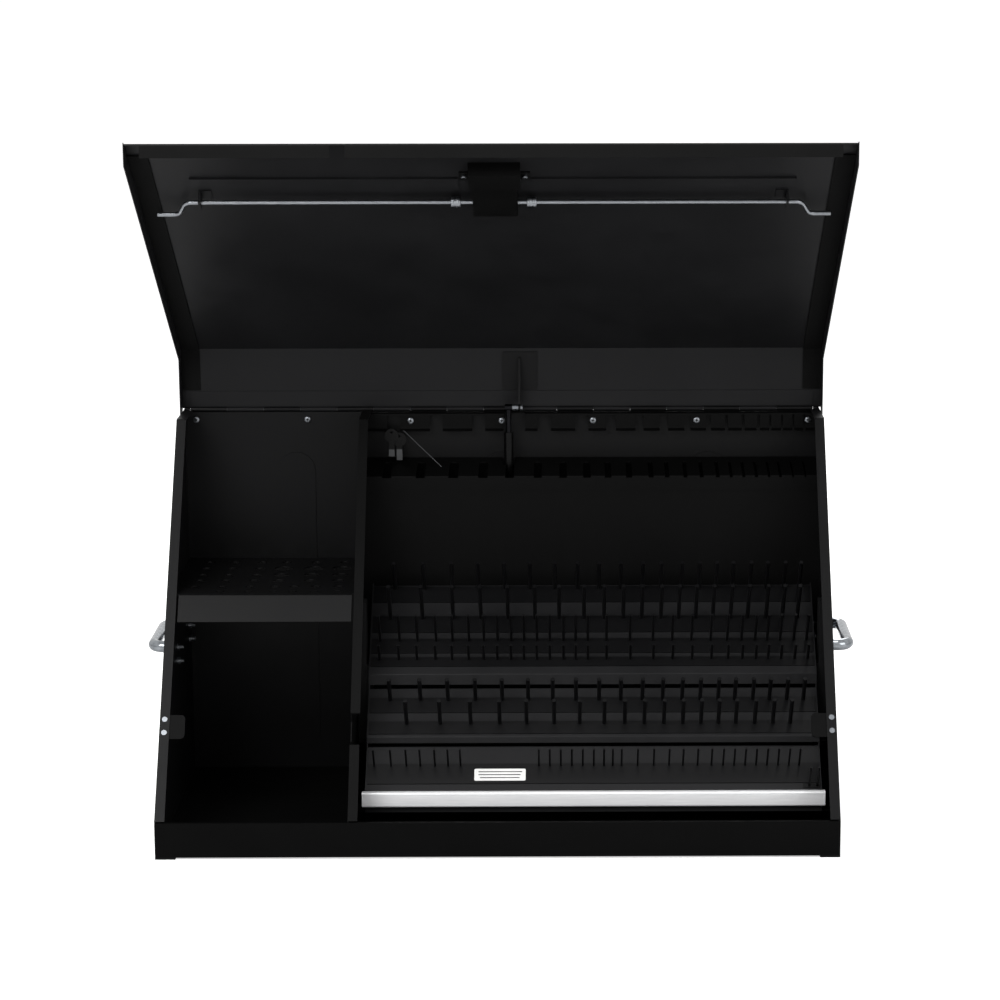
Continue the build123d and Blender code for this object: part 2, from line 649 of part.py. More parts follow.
for side_name, wall_x, sign in (("left", BAY_LEFT, 1), ("right", BAY_RIGHT, -1)):
    with BuildPart() as guide_runner:
        slab(
            sorted((wall_x + sign * (SHEET + RUN_GAP), wall_x + sign * ORGANIZER_GAP)),
            (
                GUIDE_BACK - GUIDE_WIDTH / 2 + SHEET + RUN_GAP,
                GUIDE_BACK + GUIDE_WIDTH / 2 - SHEET - RUN_GAP,
            ),
            (RUNNER_TOP - RUNNER_LENGTH, RUNNER_TOP),
        )
    save(f"{side_name}_guide_runner", guide_runner.part)

# Peg rows: (tray, distance down to the pegs, distance down to the bar's far edge, radius, length, places)
FINE_PLACES = (
    -183.73, -154.2, -126.86, -98.43, -73.27, -48.12, -25.15, -4.37, 16.4, 36.09, 55.77, 75.46, 96.24,
    114.83, 133.42, 161.85, 197.94, 232.94, 262.47, 291.99, 321.52, 346.68, 368.55, 389.33, 407.92,
    427.6, 448.38, 468.07,
)
PEG_ROWS = (
    (0, 9.8, 34.5, 2.8, 61.0, (
        -164.04, -119.2, -75.46, -35, 5.47, 44.84, 83.11, 118.11, 150.92, 184.82, 218.72, 247.16,
        278.87, 306.21, 332.46, 357.61, 384.95, 410.1, 437.45, 461.5,
    )),
    (0, 61.4, 86.4, 2.8, 76.0, (
        -169.51, -120.3, -73.27, -30.62, 10.94, 52.49, 89.68, 127.95, 158.57, 188.1, 216.54, 246.06,
        273.4, 299.65, 325.9, 353.24, 379.48, 407.92, 433.07, 456.04,
    )),
    (0, 100.1, 121.7, 2.0, 61.0, FINE_PLACES),
    (0, 131.6, 144.0, 2.0, 35.0, FINE_PLACES),
    (1, 23.4, 45.1, 2.8, 50.0, (
        -166.23, -120.3, -78.74, -37.18, 3.28, 42.65, 79.83, 114.83, 149.83, 182.63, 215.44, 246.06,
        275.59, 302.93, 330.27, 355.42, 382.76, 407.92, 434.16, 459.32,
    )),
    (1, 62.4, 80.0, 2.8, 56.0, (
        -139.98, -89.68, -43.74, 0, 40.46, 82.02, 120.3, 157.48, 188.1, 217.63, 247.16, 275.59, 302.93,
        329.18, 355.42, 383.86, 411.2, 437.45,
    )),
    (2, 35.9, 65.0, 1.4, 42.0, (
        -187.01, -161.85, -138.89, -118.11, -96.24, -76.55, -57.96, 59.06, 75.46, 91.86, 108.27,
        124.67, 141.08, 156.39, 169.51, 182.63, 206.69, 230.75, 253.72, 274.5, 296.37, 317.15, 334.65,
        351.05, 367.45, 383.86, 400.26, 416.67, 433.07, 448.38,
    )),
    (2, 69.8, 73.5, 1.4, 47.0, (
        461.5, 473.53,
    )),
)
LABEL_X = (-35.0, 37.0)
for number, (tray, down, edge, radius, length, peg_places) in enumerate(PEG_ROWS, start=1):
    peg_xs = [across(place) for place in peg_places]
    bar_left = ORGANIZER_LEFT + SHEET + 1
    bar_right = ORGANIZER_RIGHT - SHEET - 1
    if number == len(PEG_ROWS):
        bar_left = peg_xs[0] - 8
    with BuildPart() as peg_row:
        with BuildSketch(tray_plane(tray)):
            with Locations(((bar_left + bar_right) / 2, -(down - 3 + edge) / 2)):
                Rectangle(bar_right - bar_left, edge - down + 3)
            if number == len(PEG_ROWS) - 1:
                with Locations(((LABEL_X[0] + LABEL_X[1]) / 2, -(down + edge) / 2)):
                    Rectangle(LABEL_X[1] - LABEL_X[0], edge - down - 8, mode=Mode.SUBTRACT)
        extrude(amount=BAR_THICKNESS)
        with BuildSketch(tray_plane(tray)):
            with Locations(*[(x, -down) for x in peg_xs]):
                Circle(radius)
        extrude(amount=length)
    save(f"peg_row_{number}", peg_row.part)

with BuildPart() as blank_label:
    with BuildSketch(tray_plane(2)):
        with Locations(((LABEL_X[0] + LABEL_X[1]) / 2, -(PEG_ROWS[6][1] + PEG_ROWS[6][2]) / 2)):
            RectangleRounded(LABEL_X[1] - LABEL_X[0] - 2, PEG_ROWS[6][2] - PEG_ROWS[6][1] - 10, 2)
    extrude(amount=0.6)
save("blank_label", blank_label.part)

# Pull bar: an aluminium channel open below, on the lower tray's front
PULL_BACK = TRAY_FRONTS[2][0]
with BuildPart() as pull_bar:
    slab(
        (ORGANIZER_LEFT - PULL_OVERHANG, ORGANIZER_RIGHT + PULL_OVERHANG),
        (PULL_BACK - PULL_DEPTH, PULL_BACK),
        (PULL_UP, PULL_UP + PULL_HEIGHT),
    )
    fillet(pull_bar.edges().group_by(Axis.Y)[0].filter_by(Axis.X), 2.5)
    slab(
        (ORGANIZER_LEFT - PULL_OVERHANG - 1, ORGANIZER_RIGHT + PULL_OVERHANG + 1),
        (PULL_BACK - PULL_DEPTH + PULL_WALL, PULL_BACK - PULL_WALL),
        (PULL_UP - 1, PULL_UP + PULL_HEIGHT - PULL_WALL),
        Mode.SUBTRACT,
    )
save("pull_bar", pull_bar.part)

# ---------------------------------------------------------------- lid

LID_LINE = (
    (LID_FRONT_BACK + LID_FRONT_DEPTH, LID_FRONT_UP),
    (LID_FRONT_BACK, LID_FRONT_UP),
    (LID_BEND_BACK, LID_TOP),
    (LID_REAR_BACK, LID_TOP),
)
SIDE_DEPTH_SHIFT = LID_SIDE_DEPTH * math.tan(math.radians(SLOPE_ANGLE / 2))
LID_SIDE_OUTLINE = (
    (LID_FRONT_BACK + 0.5, LID_FRONT_UP),
    (LID_BEND_BACK, LID_TOP - 0.5),
    (LID_REAR_BACK, LID_TOP - 0.5),
    (LID_REAR_BACK + LID_SIDE_TAIL, LID_TOP - LID_SIDE_TAIL),
    (LID_REAR_BACK + LID_SIDE_TAIL, LID_TOP - LID_SIDE_DEPTH),
    (LID_BEND_BACK + SIDE_DEPTH_SHIFT, LID_TOP - LID_SIDE_DEPTH),
    (LID_FRONT_BACK + LID_SIDE_DEPTH / SLOPE_SIN, LID_FRONT_UP),
)
lid_sheet = folded_sheet(
    [turned(*point) for point in LID_LINE], LID_SHEET, -LID_HALF, LID_HALF, side=Side.RIGHT
)
lid_sides = [
    side_plate([turned(*point) for point in LID_SIDE_OUTLINE], *sorted((x, x - math.copysign(LID_SHEET, x))))
    for x in (-LID_HALF, LID_HALF)
]
# The front flange is cut back where the closed lid meets the side flanges and the divider
CUTBACK_OUTLINE = (
    (SHEET - CUTBACK_GAP, LID_FRONT_UP - CUTBACK_GAP),
    (LID_FRONT_DEPTH + 1, LID_FRONT_UP - CUTBACK_GAP),
    (LID_FRONT_DEPTH + 1, LID_FRONT_UP + LID_SHEET + CUTBACK_GAP),
    (SHEET - CUTBACK_GAP, LID_FRONT_UP + LID_SHEET + CUTBACK_GAP),
)
flange_cutbacks = [
    side_plate([turned(*point) for point in CUTBACK_OUTLINE], *x_range)
    for x_range in (
        (LID_SHEET - LID_HALF, FLANGE_WIDTH + CUTBACK_SIDE_GAP - HALF),
        (DIVIDER_X - CUTBACK_SIDE_GAP, BAY_LEFT + DIVIDER_FLANGE + CUTBACK_SIDE_GAP),
        (HALF - FLANGE_WIDTH - CUTBACK_SIDE_GAP, LID_HALF - LID_SHEET),
    )
]
front_corner = turned(LID_FRONT_BACK, LID_FRONT_UP)
panel_along = Vector(0, *turned(LID_BEND_BACK, LID_TOP)) - Vector(0, *front_corner)
LID_PLANE = Plane(
    origin=(0, front_corner[0] - ORIGIN_BACK, front_corner[1]),
    x_dir=(1, 0, 0),
    z_dir=Vector(1, 0, 0).cross(panel_along),
)


def lid_slab(x_range, station_range, depth_range, mode=Mode.ADD):
    """A block on the lid's long panel: X, distance from the front edge, depth below the outside."""
    lows = (x_range[0], station_range[0], -depth_range[1])
    highs = (x_range[1], station_range[1], -depth_range[0])
    middle = [(low + high) / 2 for low, high in zip(lows, highs)]
    lengths = [high - low for low, high in zip(lows, highs)]
    with Locations(LID_PLANE):
        with Locations(tuple(middle)):
            Box(*lengths, mode=mode)


PADDLE_X = (HOUSING_X - PADDLE_WIDTH / 2, HOUSING_X + PADDLE_WIDTH / 2)
with BuildPart() as lid_shell:
    add(lid_sheet)
    for lid_side in lid_sides:
        add(lid_side)
    lid_slab(
        (PADDLE_X[0] - PADDLE_GAP, PADDLE_X[1] + PADDLE_GAP),
        (PADDLE_START - PADDLE_GAP, PADDLE_END + PADDLE_SWING_ROOM),
        (-1, LID_SHEET + 1),
        Mode.SUBTRACT,
    )
    for cutback in flange_cutbacks:
        add(cutback, mode=Mode.SUBTRACT)
save("lid_shell", lid_shell.part)

HOUSING_LEFT = HOUSING_X - HOUSING_WIDTH / 2
HOUSING_RIGHT = HOUSING_X + HOUSING_WIDTH / 2
with BuildPart() as latch_housing:
    lid_slab(
        (HOUSING_LEFT, HOUSING_RIGHT), (HOUSING_START, HOUSING_STEP), (LID_SHEET, LID_SHEET + HOUSING_DEPTH)
    )
    lid_slab(
        (HOUSING_LEFT + STEP_INSET, HOUSING_RIGHT - STEP_INSET),
        (HOUSING_STEP, HOUSING_END),
        (LID_SHEET, LID_SHEET + STEP_DEPTH),
    )
    lid_slab(
        (HOUSING_LEFT - LATCH_EAR, HOUSING_RIGHT + LATCH_EAR),
        (LATCH_SCREW_STATION - LATCH_EAR_HALF, LATCH_SCREW_STATION + LATCH_EAR_HALF),
        (LID_SHEET, LID_SHEET + LATCH_EAR_THICKNESS),
    )
    lid_slab(
        (HOUSING_LEFT + HOUSING_WALL, HOUSING_RIGHT - HOUSING_WALL),
        (HOUSING_START + HOUSING_WALL, HOUSING_STEP - HOUSING_WALL),
        (LID_SHEET - 1, LID_SHEET + HOUSING_DEPTH - HOUSING_WALL),
        Mode.SUBTRACT,
    )
    lid_slab(
        (HOUSING_LEFT + STEP_INSET + HOUSING_WALL, HOUSING_RIGHT - STEP_INSET - HOUSING_WALL),
        (HOUSING_STEP - 2 * HOUSING_WALL, HOUSING_END - HOUSING_WALL),
        (LID_SHEET - 1, LID_SHEET + STEP_DEPTH - HOUSING_WALL),
        Mode.SUBTRACT,
    )
    with Locations(LID_PLANE):
        with Locations((HOUSING_X, PADDLE_AXIS, -PADDLE_AXIS_DEPTH)):
            Cylinder(
                PADDLE_AXLE_RADIUS + PADDLE_FIT_GAP,
                HOUSING_WIDTH + 2,
                rotation=(0, 90, 0),
                mode=Mode.SUBTRACT,
            )
        with Locations((HOUSING_X, ROD_STATION, -ROD_DEPTH)):
            Cylinder(ROD_RADIUS + RUN_GAP, HOUSING_WIDTH + 2, rotation=(0, 90, 0), mode=Mode.SUBTRACT)
save("latch_housing", latch_housing.part)

with BuildPart() as latch_screws:
    for sign, edge in ((-1, HOUSING_LEFT), (1, HOUSING_RIGHT)):
        with Locations(LID_PLANE):
            screw_seat = (edge + sign * LATCH_EAR / 2, LATCH_SCREW_STATION, -LID_SHEET - LATCH_EAR_THICKNESS)
            with Locations(screw_seat):
                Cylinder(3.6, 2.4, align=(Align.CENTER, Align.CENTER, Align.MAX))
save("latch_screws", latch_screws.part)

with BuildPart() as paddle_handle:
    lid_slab(PADDLE_X, (PADDLE_START, PADDLE_END), (LID_SHEET - PADDLE_THICKNESS, LID_SHEET))
    for ear_x in (PADDLE_X[0], PADDLE_X[1] - 3):
        lid_slab(
            (ear_x, ear_x + 3),
            (PADDLE_AXIS - 4, PADDLE_AXIS + 4),
            (LID_SHEET, PADDLE_AXIS_DEPTH + 3.5),
        )
    with Locations(LID_PLANE):
        with Locations((HOUSING_X, PADDLE_AXIS, -PADDLE_AXIS_DEPTH)):
            Cylinder(PADDLE_AXLE_RADIUS, HOUSING_WIDTH - 2 * STEP_INSET, rotation=(0, 90, 0))
        with Locations((HOUSING_X, PADDLE_START + 16, 0)):
            Cylinder(KEY_LOCK_RADIUS + 0.05, 10, mode=Mode.SUBTRACT)
save("paddle_handle", paddle_handle.part)

with BuildPart() as lock_cylinder:
    with Locations(LID_PLANE):
        with Locations((HOUSING_X, PADDLE_START + 16, 1.5)):
            Cylinder(KEY_LOCK_RADIUS, 14, align=(Align.CENTER, Align.CENTER, Align.MAX))
        with Locations((HOUSING_X, PADDLE_START + 16, 1.5)):
            Box(1.2, 6, 2.4, mode=Mode.SUBTRACT)
save("lock_cylinder", lock_cylinder.part)

# Lock rods: straight, then an S bend near the lid's edge
for side_name, sign in (("left", -1), ("right", 1)):
    with BuildPart() as lock_rod:
        rod_plane = LID_PLANE.offset(-ROD_DEPTH)
        with BuildLine(rod_plane) as rod_line:
            FilletPolyline(
                (sign * ROD_INNER_X, ROD_STATION),
                (sign * (ROD_BEND_X + ROD_BEND_RADIUS / 2), ROD_STATION),
                (sign * (ROD_LEVEL_X - ROD_BEND_RADIUS / 4), ROD_END_STATION),
                (sign * ROD_END_X, ROD_END_STATION),
                radius=ROD_BEND_RADIUS,
            )
        with BuildSketch(Plane(origin=rod_line.line @ 0, z_dir=rod_line.line % 0)):
            Circle(ROD_RADIUS)
        sweep(path=rod_line.line)
        lid_slab(
            sorted((sign * ROD_CLAMP_X, sign * (ROD_CLAMP_X + ROD_CLAMP))),
            (ROD_STATION - 5, ROD_STATION + 5),
            (ROD_DEPTH - 4.5, ROD_DEPTH + 4.5),
        )
    save(f"{side_name}_lock_rod", lock_rod.part)

with BuildPart() as rod_guides:
    for sign in (-1, 1):
        lid_slab(
            sorted((sign * ROD_GUIDE_X, sign * (ROD_GUIDE_X - ROD_GUIDE_THICKNESS))),
            (ROD_STATION - 14, ROD_STATION + 8),
            (LID_SHEET, ROD_DEPTH + ROD_RADIUS + 4),
        )
        lid_slab(
            sorted((sign * ROD_GUIDE_X, sign * (ROD_GUIDE_X - 16))),
            (ROD_STATION - 14, ROD_STATION + 8),
            (LID_SHEET, LID_SHEET + 1.5),
        )
    with Locations(LID_PLANE):
        with Locations((0, ROD_STATION, -ROD_DEPTH)):
            Cylinder(ROD_RADIUS + RUN_GAP, 2 * HALF, rotation=(0, 90, 0), mode=Mode.SUBTRACT)
save("rod_guides", rod_guides.part)

with BuildPart() as stiffener:
    for x_range in (
        (-STIFFENER_END_X, HOUSING_LEFT - LATCH_EAR - 2),
        (HOUSING_RIGHT + LATCH_EAR + 2, STIFFENER_END_X),
    ):
        lid_slab(
            x_range,
            (STIFFENER_STATION - STIFFENER_WIDTH / 2, STIFFENER_STATION + STIFFENER_WIDTH / 2),
            (LID_SHEET, LID_SHEET + STIFFENER_RISE),
        )
        lid_slab(
            (x_range[0] + SHEET, x_range[1] - SHEET),
            (
                STIFFENER_STATION - STIFFENER_WIDTH / 2 + SHEET,
                STIFFENER_STATION + STIFFENER_WIDTH / 2 - SHEET,
            ),
            (LID_SHEET - 1, LID_SHEET + STIFFENER_RISE - SHEET),
            Mode.SUBTRACT,
        )
save("stiffener", stiffener.part)

# Seals along both edges of the lid's two panels, stopping short of the hinge leaf
SEAL_LINE = (
    (LID_FRONT_BACK + SEAL_START * SLOPE_COS + LID_SHEET * SLOPE_SIN,
     LID_FRONT_UP + SEAL_START * SLOPE_SIN - LID_SHEET * SLOPE_COS),
    (LID_BEND_BACK + LID_SHEET * math.tan(math.radians(SLOPE_ANGLE / 2)), LID_TOP - LID_SHEET),
    (HINGE_AXIS[0] - LEAF_WIDTH - 2, LID_TOP - LID_SHEET),
)
SEAL_OUTER_X = LID_HALF - LID_SHEET - RUN_GAP
seals = [
    folded_sheet(
        [turned(*point) for point in SEAL_LINE],
        SEAL_THICKNESS,
        *sorted((sign * SEAL_OUTER_X, sign * (SEAL_OUTER_X - SEAL_WIDTH))),
        side=Side.RIGHT,
    )
    for sign in (-1, 1)
]
with BuildPart() as edge_seals:
    for seal in seals:
        add(seal)
save("edge_seals", edge_seals.part)

# ---------------------------------------------------------------- piano hinge

KNUCKLE_PITCH = 2 * HINGE_HALF_LENGTH / KNUCKLES


def knuckle_range(index):
    """X range of one knuckle of the hinge."""
    start = -HINGE_HALF_LENGTH + index * KNUCKLE_PITCH
    return (start + KNUCKLE_GAP / 2, start + KNUCKLE_PITCH - KNUCKLE_GAP / 2)


axis_back, axis_up = HINGE_AXIS
with BuildPart() as fixed_hinge_leaf:
    slab(
        (-HINGE_HALF_LENGTH, HINGE_HALF_LENGTH),
        (CASE_DEPTH, CASE_DEPTH + LEAF),
        (axis_up - LEAF_WIDTH, axis_up - BARREL_RADIUS - 0.6),
    )
    for index in range(0, KNUCKLES, 2):
        slab(
            knuckle_range(index),
            (CASE_DEPTH, CASE_DEPTH + LEAF),
            (axis_up - BARREL_RADIUS - 0.6, axis_up),
        )
        x_start, x_end = knuckle_range(index)
        round_bar((x_start, axis_back, axis_up), (x_end, axis_back, axis_up), BARREL_RADIUS)
    round_bar(
        (-HINGE_HALF_LENGTH - 1, axis_back, axis_up),
        (HINGE_HALF_LENGTH + 1, axis_back, axis_up),
        HINGE_PIN_RADIUS + PIN_GAP,
        Mode.SUBTRACT,
    )
    for x in HINGE_SCREW_XS:
        round_bar(
            (x, CASE_DEPTH - 1, HINGE_SCREW_UP),
            (x, CASE_DEPTH + LEAF + 1, HINGE_SCREW_UP),
            SCREW_RADIUS + SCREW_HOLE_GAP,
            Mode.SUBTRACT,
        )
save("fixed_hinge_leaf", fixed_hinge_leaf.part)

# The moving leaf lies under the closed lid's flat panel, drawn here with the lid open
LEAF_STRIP = (
    (axis_back - BARREL_RADIUS - 0.6, axis_up + BARREL_RADIUS - LEAF),
    (axis_back - BARREL_RADIUS - 0.6, axis_up + BARREL_RADIUS),
    (axis_back - LEAF_WIDTH, axis_up + BARREL_RADIUS),
    (axis_back - LEAF_WIDTH, axis_up + BARREL_RADIUS - LEAF),
)
KNUCKLE_STRIP = (
    (axis_back, axis_up + BARREL_RADIUS - LEAF),
    (axis_back, axis_up + BARREL_RADIUS),
    (axis_back - BARREL_RADIUS - 0.6, axis_up + BARREL_RADIUS),
    (axis_back - BARREL_RADIUS - 0.6, axis_up + BARREL_RADIUS - LEAF),
)
leaf_strip = side_plate([turned(*point) for point in LEAF_STRIP], -HINGE_HALF_LENGTH, HINGE_HALF_LENGTH)
knuckle_strips = [
    side_plate([turned(*point) for point in KNUCKLE_STRIP], *knuckle_range(index))
    for index in range(1, KNUCKLES, 2)
]
with BuildPart() as moving_hinge_leaf:
    add(leaf_strip)
    for strip in knuckle_strips:
        add(strip)
    for index in range(1, KNUCKLES, 2):
        x_start, x_end = knuckle_range(index)
        round_bar((x_start, axis_back, axis_up), (x_end, axis_back, axis_up), BARREL_RADIUS)
    round_bar(
        (-HINGE_HALF_LENGTH - 1, axis_back, axis_up),
        (HINGE_HALF_LENGTH + 1, axis_back, axis_up),
        HINGE_PIN_RADIUS + PIN_GAP,
        Mode.SUBTRACT,
    )
save("moving_hinge_leaf", moving_hinge_leaf.part)

with BuildPart() as hinge_pin:
    round_bar(
        (-HINGE_HALF_LENGTH, axis_back, axis_up), (HINGE_HALF_LENGTH, axis_back, axis_up), HINGE_PIN_RADIUS
    )
save("hinge_pin", hinge_pin.part)

with BuildPart() as hinge_screws:
    for x in HINGE_SCREW_XS:
        head_back = WALL_FACE if x < BAY_LEFT else RACK_FACE_BACK
        nut_back = CASE_DEPTH + LEAF
        round_bar((x, head_back, HINGE_SCREW_UP), (x, nut_back + NUT_HEIGHT, HINGE_SCREW_UP), SCREW_RADIUS)
        round_bar(
            (x, head_back - SCREW_HEAD_HEIGHT, HINGE_SCREW_UP),
            (x, head_back, HINGE_SCREW_UP),
            SCREW_HEAD_RADIUS,
        )
        round_bar(
            (x, nut_back, HINGE_SCREW_UP),
            (x, nut_back + NUT_HEIGHT, HINGE_SCREW_UP),
            SCREW_HEAD_RADIUS,
        )
save("hinge_screws", hinge_screws.part)

# ---------------------------------------------------------------- gas strut

strut_start = Vector(STRUT_X, STRUT_FOOT[0] - ORIGIN_BACK, STRUT_FOOT[1])
strut_end = Vector(STRUT_X, STRUT_EYE[0] - ORIGIN_BACK, STRUT_EYE[1])
STRUT_LENGTH = (strut_end - strut_start).length
strut_plane = Plane(origin=strut_start, x_dir=(1, 0, 0), z_dir=strut_end - strut_start)
STRUT_HALF_EYE = STRUT_EYE_WIDTH / 2

with BuildPart() as strut_cylinder:
    with Locations(strut_plane):
        with Locations((0, 0, 9)):
            Cylinder(
                STRUT_RADIUS, STRUT_CYLINDER_LENGTH - 9, align=(Align.CENTER, Align.CENTER, Align.MIN)
            )
        Cylinder(STRUT_EYE_RADIUS - 0.5, 12, align=(Align.CENTER, Align.CENTER, Align.MIN))
        Cylinder(STRUT_EYE_RADIUS + 1, STRUT_EYE_WIDTH, rotation=(0, 90, 0))
        Cylinder(
            STRUT_PIN_RADIUS + PIN_GAP, STRUT_EYE_WIDTH + 2, rotation=(0, 90, 0), mode=Mode.SUBTRACT
        )
        with Locations((0, 0, STRUT_CYLINDER_LENGTH - STRUT_BORE_DEPTH)):
            Cylinder(
                STRUT_ROD_RADIUS + RUN_GAP,
                STRUT_BORE_DEPTH + 1,
                align=(Align.CENTER, Align.CENTER, Align.MIN),
                mode=Mode.SUBTRACT,
            )
save("strut_cylinder", strut_cylinder.part)

with BuildPart() as strut_rod:
    with Locations(strut_plane):
        with Locations((0, 0, STRUT_LENGTH - STRUT_ROD_LENGTH)):
            Cylinder(STRUT_ROD_RADIUS, STRUT_ROD_LENGTH, align=(Align.CENTER, Align.CENTER, Align.MIN))
        with Locations((0, 0, STRUT_LENGTH)):
            Cylinder(STRUT_EYE_RADIUS, STRUT_EYE_WIDTH, rotation=(0, 90, 0))
save("strut_rod", strut_rod.part)

FOOT_ARM_X = STRUT_X + STRUT_HALF_EYE + 1
with BuildPart() as strut_lower_bracket:
    slab(
        (FOOT_ARM_X - 20, FOOT_ARM_X + 3),
        (WALL_FACE - PAD_RISE - 3, WALL_FACE - PAD_RISE),
        (STRUT_FOOT[1] - 16, STRUT_FOOT[1] + 16),
    )
    slab(
        (FOOT_ARM_X, FOOT_ARM_X + 3),
        (STRUT_FOOT[0] - 7, WALL_FACE - PAD_RISE),
        (STRUT_FOOT[1] - 9, STRUT_FOOT[1] + 8),
    )
    round_bar(
        (STRUT_X - STRUT_HALF_EYE - 2, *STRUT_FOOT), (FOOT_ARM_X + 1, *STRUT_FOOT), STRUT_PIN_RADIUS
    )
save("strut_lower_bracket", strut_lower_bracket.part)

# Bracket on the lid's flat panel: a base, and a tab that reaches down to the stud
turned_back = STRUT_EYE[0] - axis_back
turned_up = STRUT_EYE[1] - axis_up
STUD_CLOSED = (
    axis_back + turned_back * OPEN_COS - turned_up * OPEN_SIN,
    axis_up + turned_back * OPEN_SIN + turned_up * OPEN_COS,
)
BASE_FRONT = LID_BEND_BACK + 6
BASE_REAR = axis_back - LEAF_WIDTH - 2
BASE_UP = CASE_HEIGHT + SEAL_GAP
BASE_THICKNESS = 2.0
TAB_UP = BASE_UP - BASE_THICKNESS
TAB_OUTLINE = (
    (BASE_FRONT + 8, TAB_UP),
    (BASE_FRONT + 8, TAB_UP - 5),
    (STUD_CLOSED[0] - TAB_TIP_RADIUS, STUD_CLOSED[1] - TAB_TIP_RADIUS / 2),
    (STUD_CLOSED[0] - TAB_TIP_RADIUS / 2, STUD_CLOSED[1] - TAB_TIP_RADIUS),
    (STUD_CLOSED[0] + TAB_TIP_RADIUS / 2, STUD_CLOSED[1] - TAB_TIP_RADIUS),
    (STUD_CLOSED[0] + TAB_TIP_RADIUS, STUD_CLOSED[1] - TAB_TIP_RADIUS / 2),
    (axis_back - 12, TAB_UP - 0.5),
    (axis_back - 12, TAB_UP),
)
BASE_OUTLINE = (
    (BASE_FRONT, TAB_UP),
    (BASE_FRONT, BASE_UP),
    (BASE_REAR, BASE_UP),
    (BASE_REAR, TAB_UP),
)
bracket_tab = side_plate([turned(*point) for point in TAB_OUTLINE], TAB_X, TAB_X + TAB_THICKNESS)
bracket_base = side_plate([turned(*point) for point in BASE_OUTLINE], 1.0, 1.0 + BRACKET_WIDTH)
with BuildPart() as strut_bracket:
    add(bracket_tab)
    add(bracket_base)
    round_bar(
        (TAB_X - 1, *STRUT_EYE), (TAB_X + TAB_THICKNESS + 1, *STRUT_EYE), STUD_RADIUS + PIN_GAP, Mode.SUBTRACT
    )
save("strut_bracket", strut_bracket.part)

with BuildPart() as ball_stud:
    stud_start = STRUT_X + STRUT_HALF_EYE + RUN_GAP
    round_bar((stud_start, *STRUT_EYE), (TAB_X, *STRUT_EYE), STUD_COLLAR_RADIUS)
    round_bar((TAB_X, *STRUT_EYE), (TAB_X + TAB_THICKNESS + 3, *STRUT_EYE), STUD_RADIUS)
    round_bar(
        (TAB_X + TAB_THICKNESS, *STRUT_EYE), (TAB_X + TAB_THICKNESS + 3, *STRUT_EYE), STUD_COLLAR_RADIUS
    )
save("ball_stud", ball_stud.part)

# ---------------------------------------------------------------- side handles

for side_name, sign in (("left", -1), ("right", 1)):
    plate_face = sign * (HALF + HANDLE_PLATE)
    with BuildPart() as handle_plates:
        for plate_back in (HANDLE_FRONT, HANDLE_REAR):
            slab(
                sorted((sign * HALF, plate_face)),
                (plate_back - HANDLE_PLATE_WIDTH / 2, plate_back + HANDLE_PLATE_WIDTH / 2),
                (HANDLE_BOLT_UP - 10, HANDLE_UP + 14),
            )
            for bolt_up in (HANDLE_BOLT_UP, HANDLE_UP):
                round_bar(
                    (sign * (HALF - 1), plate_back, bolt_up),
                    (sign * (HALF + HANDLE_PLATE + 1), plate_back, bolt_up),
                    HANDLE_BOLT_RADIUS + SCREW_HOLE_GAP,
                    Mode.SUBTRACT,
                )
        fillet(handle_plates.edges().filter_by(Axis.X).group_by(SortBy.LENGTH)[-1], 1.0)
    save(f"{side_name}_handle_plates", handle_plates.part)

    with BuildPart() as side_handle:
        with BuildLine(Plane.XY.offset(HANDLE_UP)) as handle_line:
            FilletPolyline(
                (plate_face, HANDLE_FRONT - ORIGIN_BACK),
                (sign * (HALF + HANDLE_REACH), HANDLE_FRONT - ORIGIN_BACK),
                (sign * (HALF + HANDLE_REACH), HANDLE_REAR - ORIGIN_BACK),
                (plate_face, HANDLE_REAR - ORIGIN_BACK),
                radius=HANDLE_BEND_RADIUS,
            )
        with BuildSketch(Plane(origin=handle_line.line @ 0, z_dir=handle_line.line % 0)):
            Circle(HANDLE_RADIUS)
        sweep(path=handle_line.line)
    save(f"{side_name}_side_handle", side_handle.part)

# The lower bolts have their heads outside, the upper ones hold the handle's ends from inside
with BuildPart() as handle_bolts:
    for sign in (-1, 1):
        for bolt_back in (HANDLE_FRONT, HANDLE_REAR):
            for bolt_up in (HANDLE_BOLT_UP, HANDLE_UP):
                round_bar(
                    (sign * (INNER - 9), bolt_back, bolt_up),
                    (sign * (HALF + HANDLE_PLATE), bolt_back, bolt_up),
                    HANDLE_BOLT_RADIUS,
                )
                round_bar(
                    (sign * (INNER - BOLT_HEAD_HEIGHT), bolt_back, bolt_up),
                    (sign * INNER, bolt_back, bolt_up),
                    HANDLE_BOLT_RADIUS + BOLT_HEAD_EXTRA,
                )
            round_bar(
                (sign * (HALF + HANDLE_PLATE), bolt_back, HANDLE_BOLT_UP),
                (sign * (HALF + HANDLE_PLATE + BOLT_HEAD_HEIGHT), bolt_back, HANDLE_BOLT_UP),
                HANDLE_BOLT_RADIUS + BOLT_HEAD_EXTRA,
            )
save("handle_bolts", handle_bolts.part)

# ---------------------------------------------------------------- keys on their tie

TIE_RADIUS = 0.8
TIE_TOP = (across(-154.2), RACK_FACE_BACK - RACK_LIP_REACH - TIE_RADIUS - 0.5, CASE_HEIGHT - 28.5)
TIE_END = (across(-94.05), CASE_DEPTH - 44.0, CASE_HEIGHT - 77.2)
KEY_THICKNESS = 2.0
KEY_BOW_RADIUS = 10.0
KEY_LENGTH = 30.0
with BuildPart() as key_tie:
    round_bar(TIE_TOP, TIE_END, TIE_RADIUS)
save("key_tie", key_tie.part)

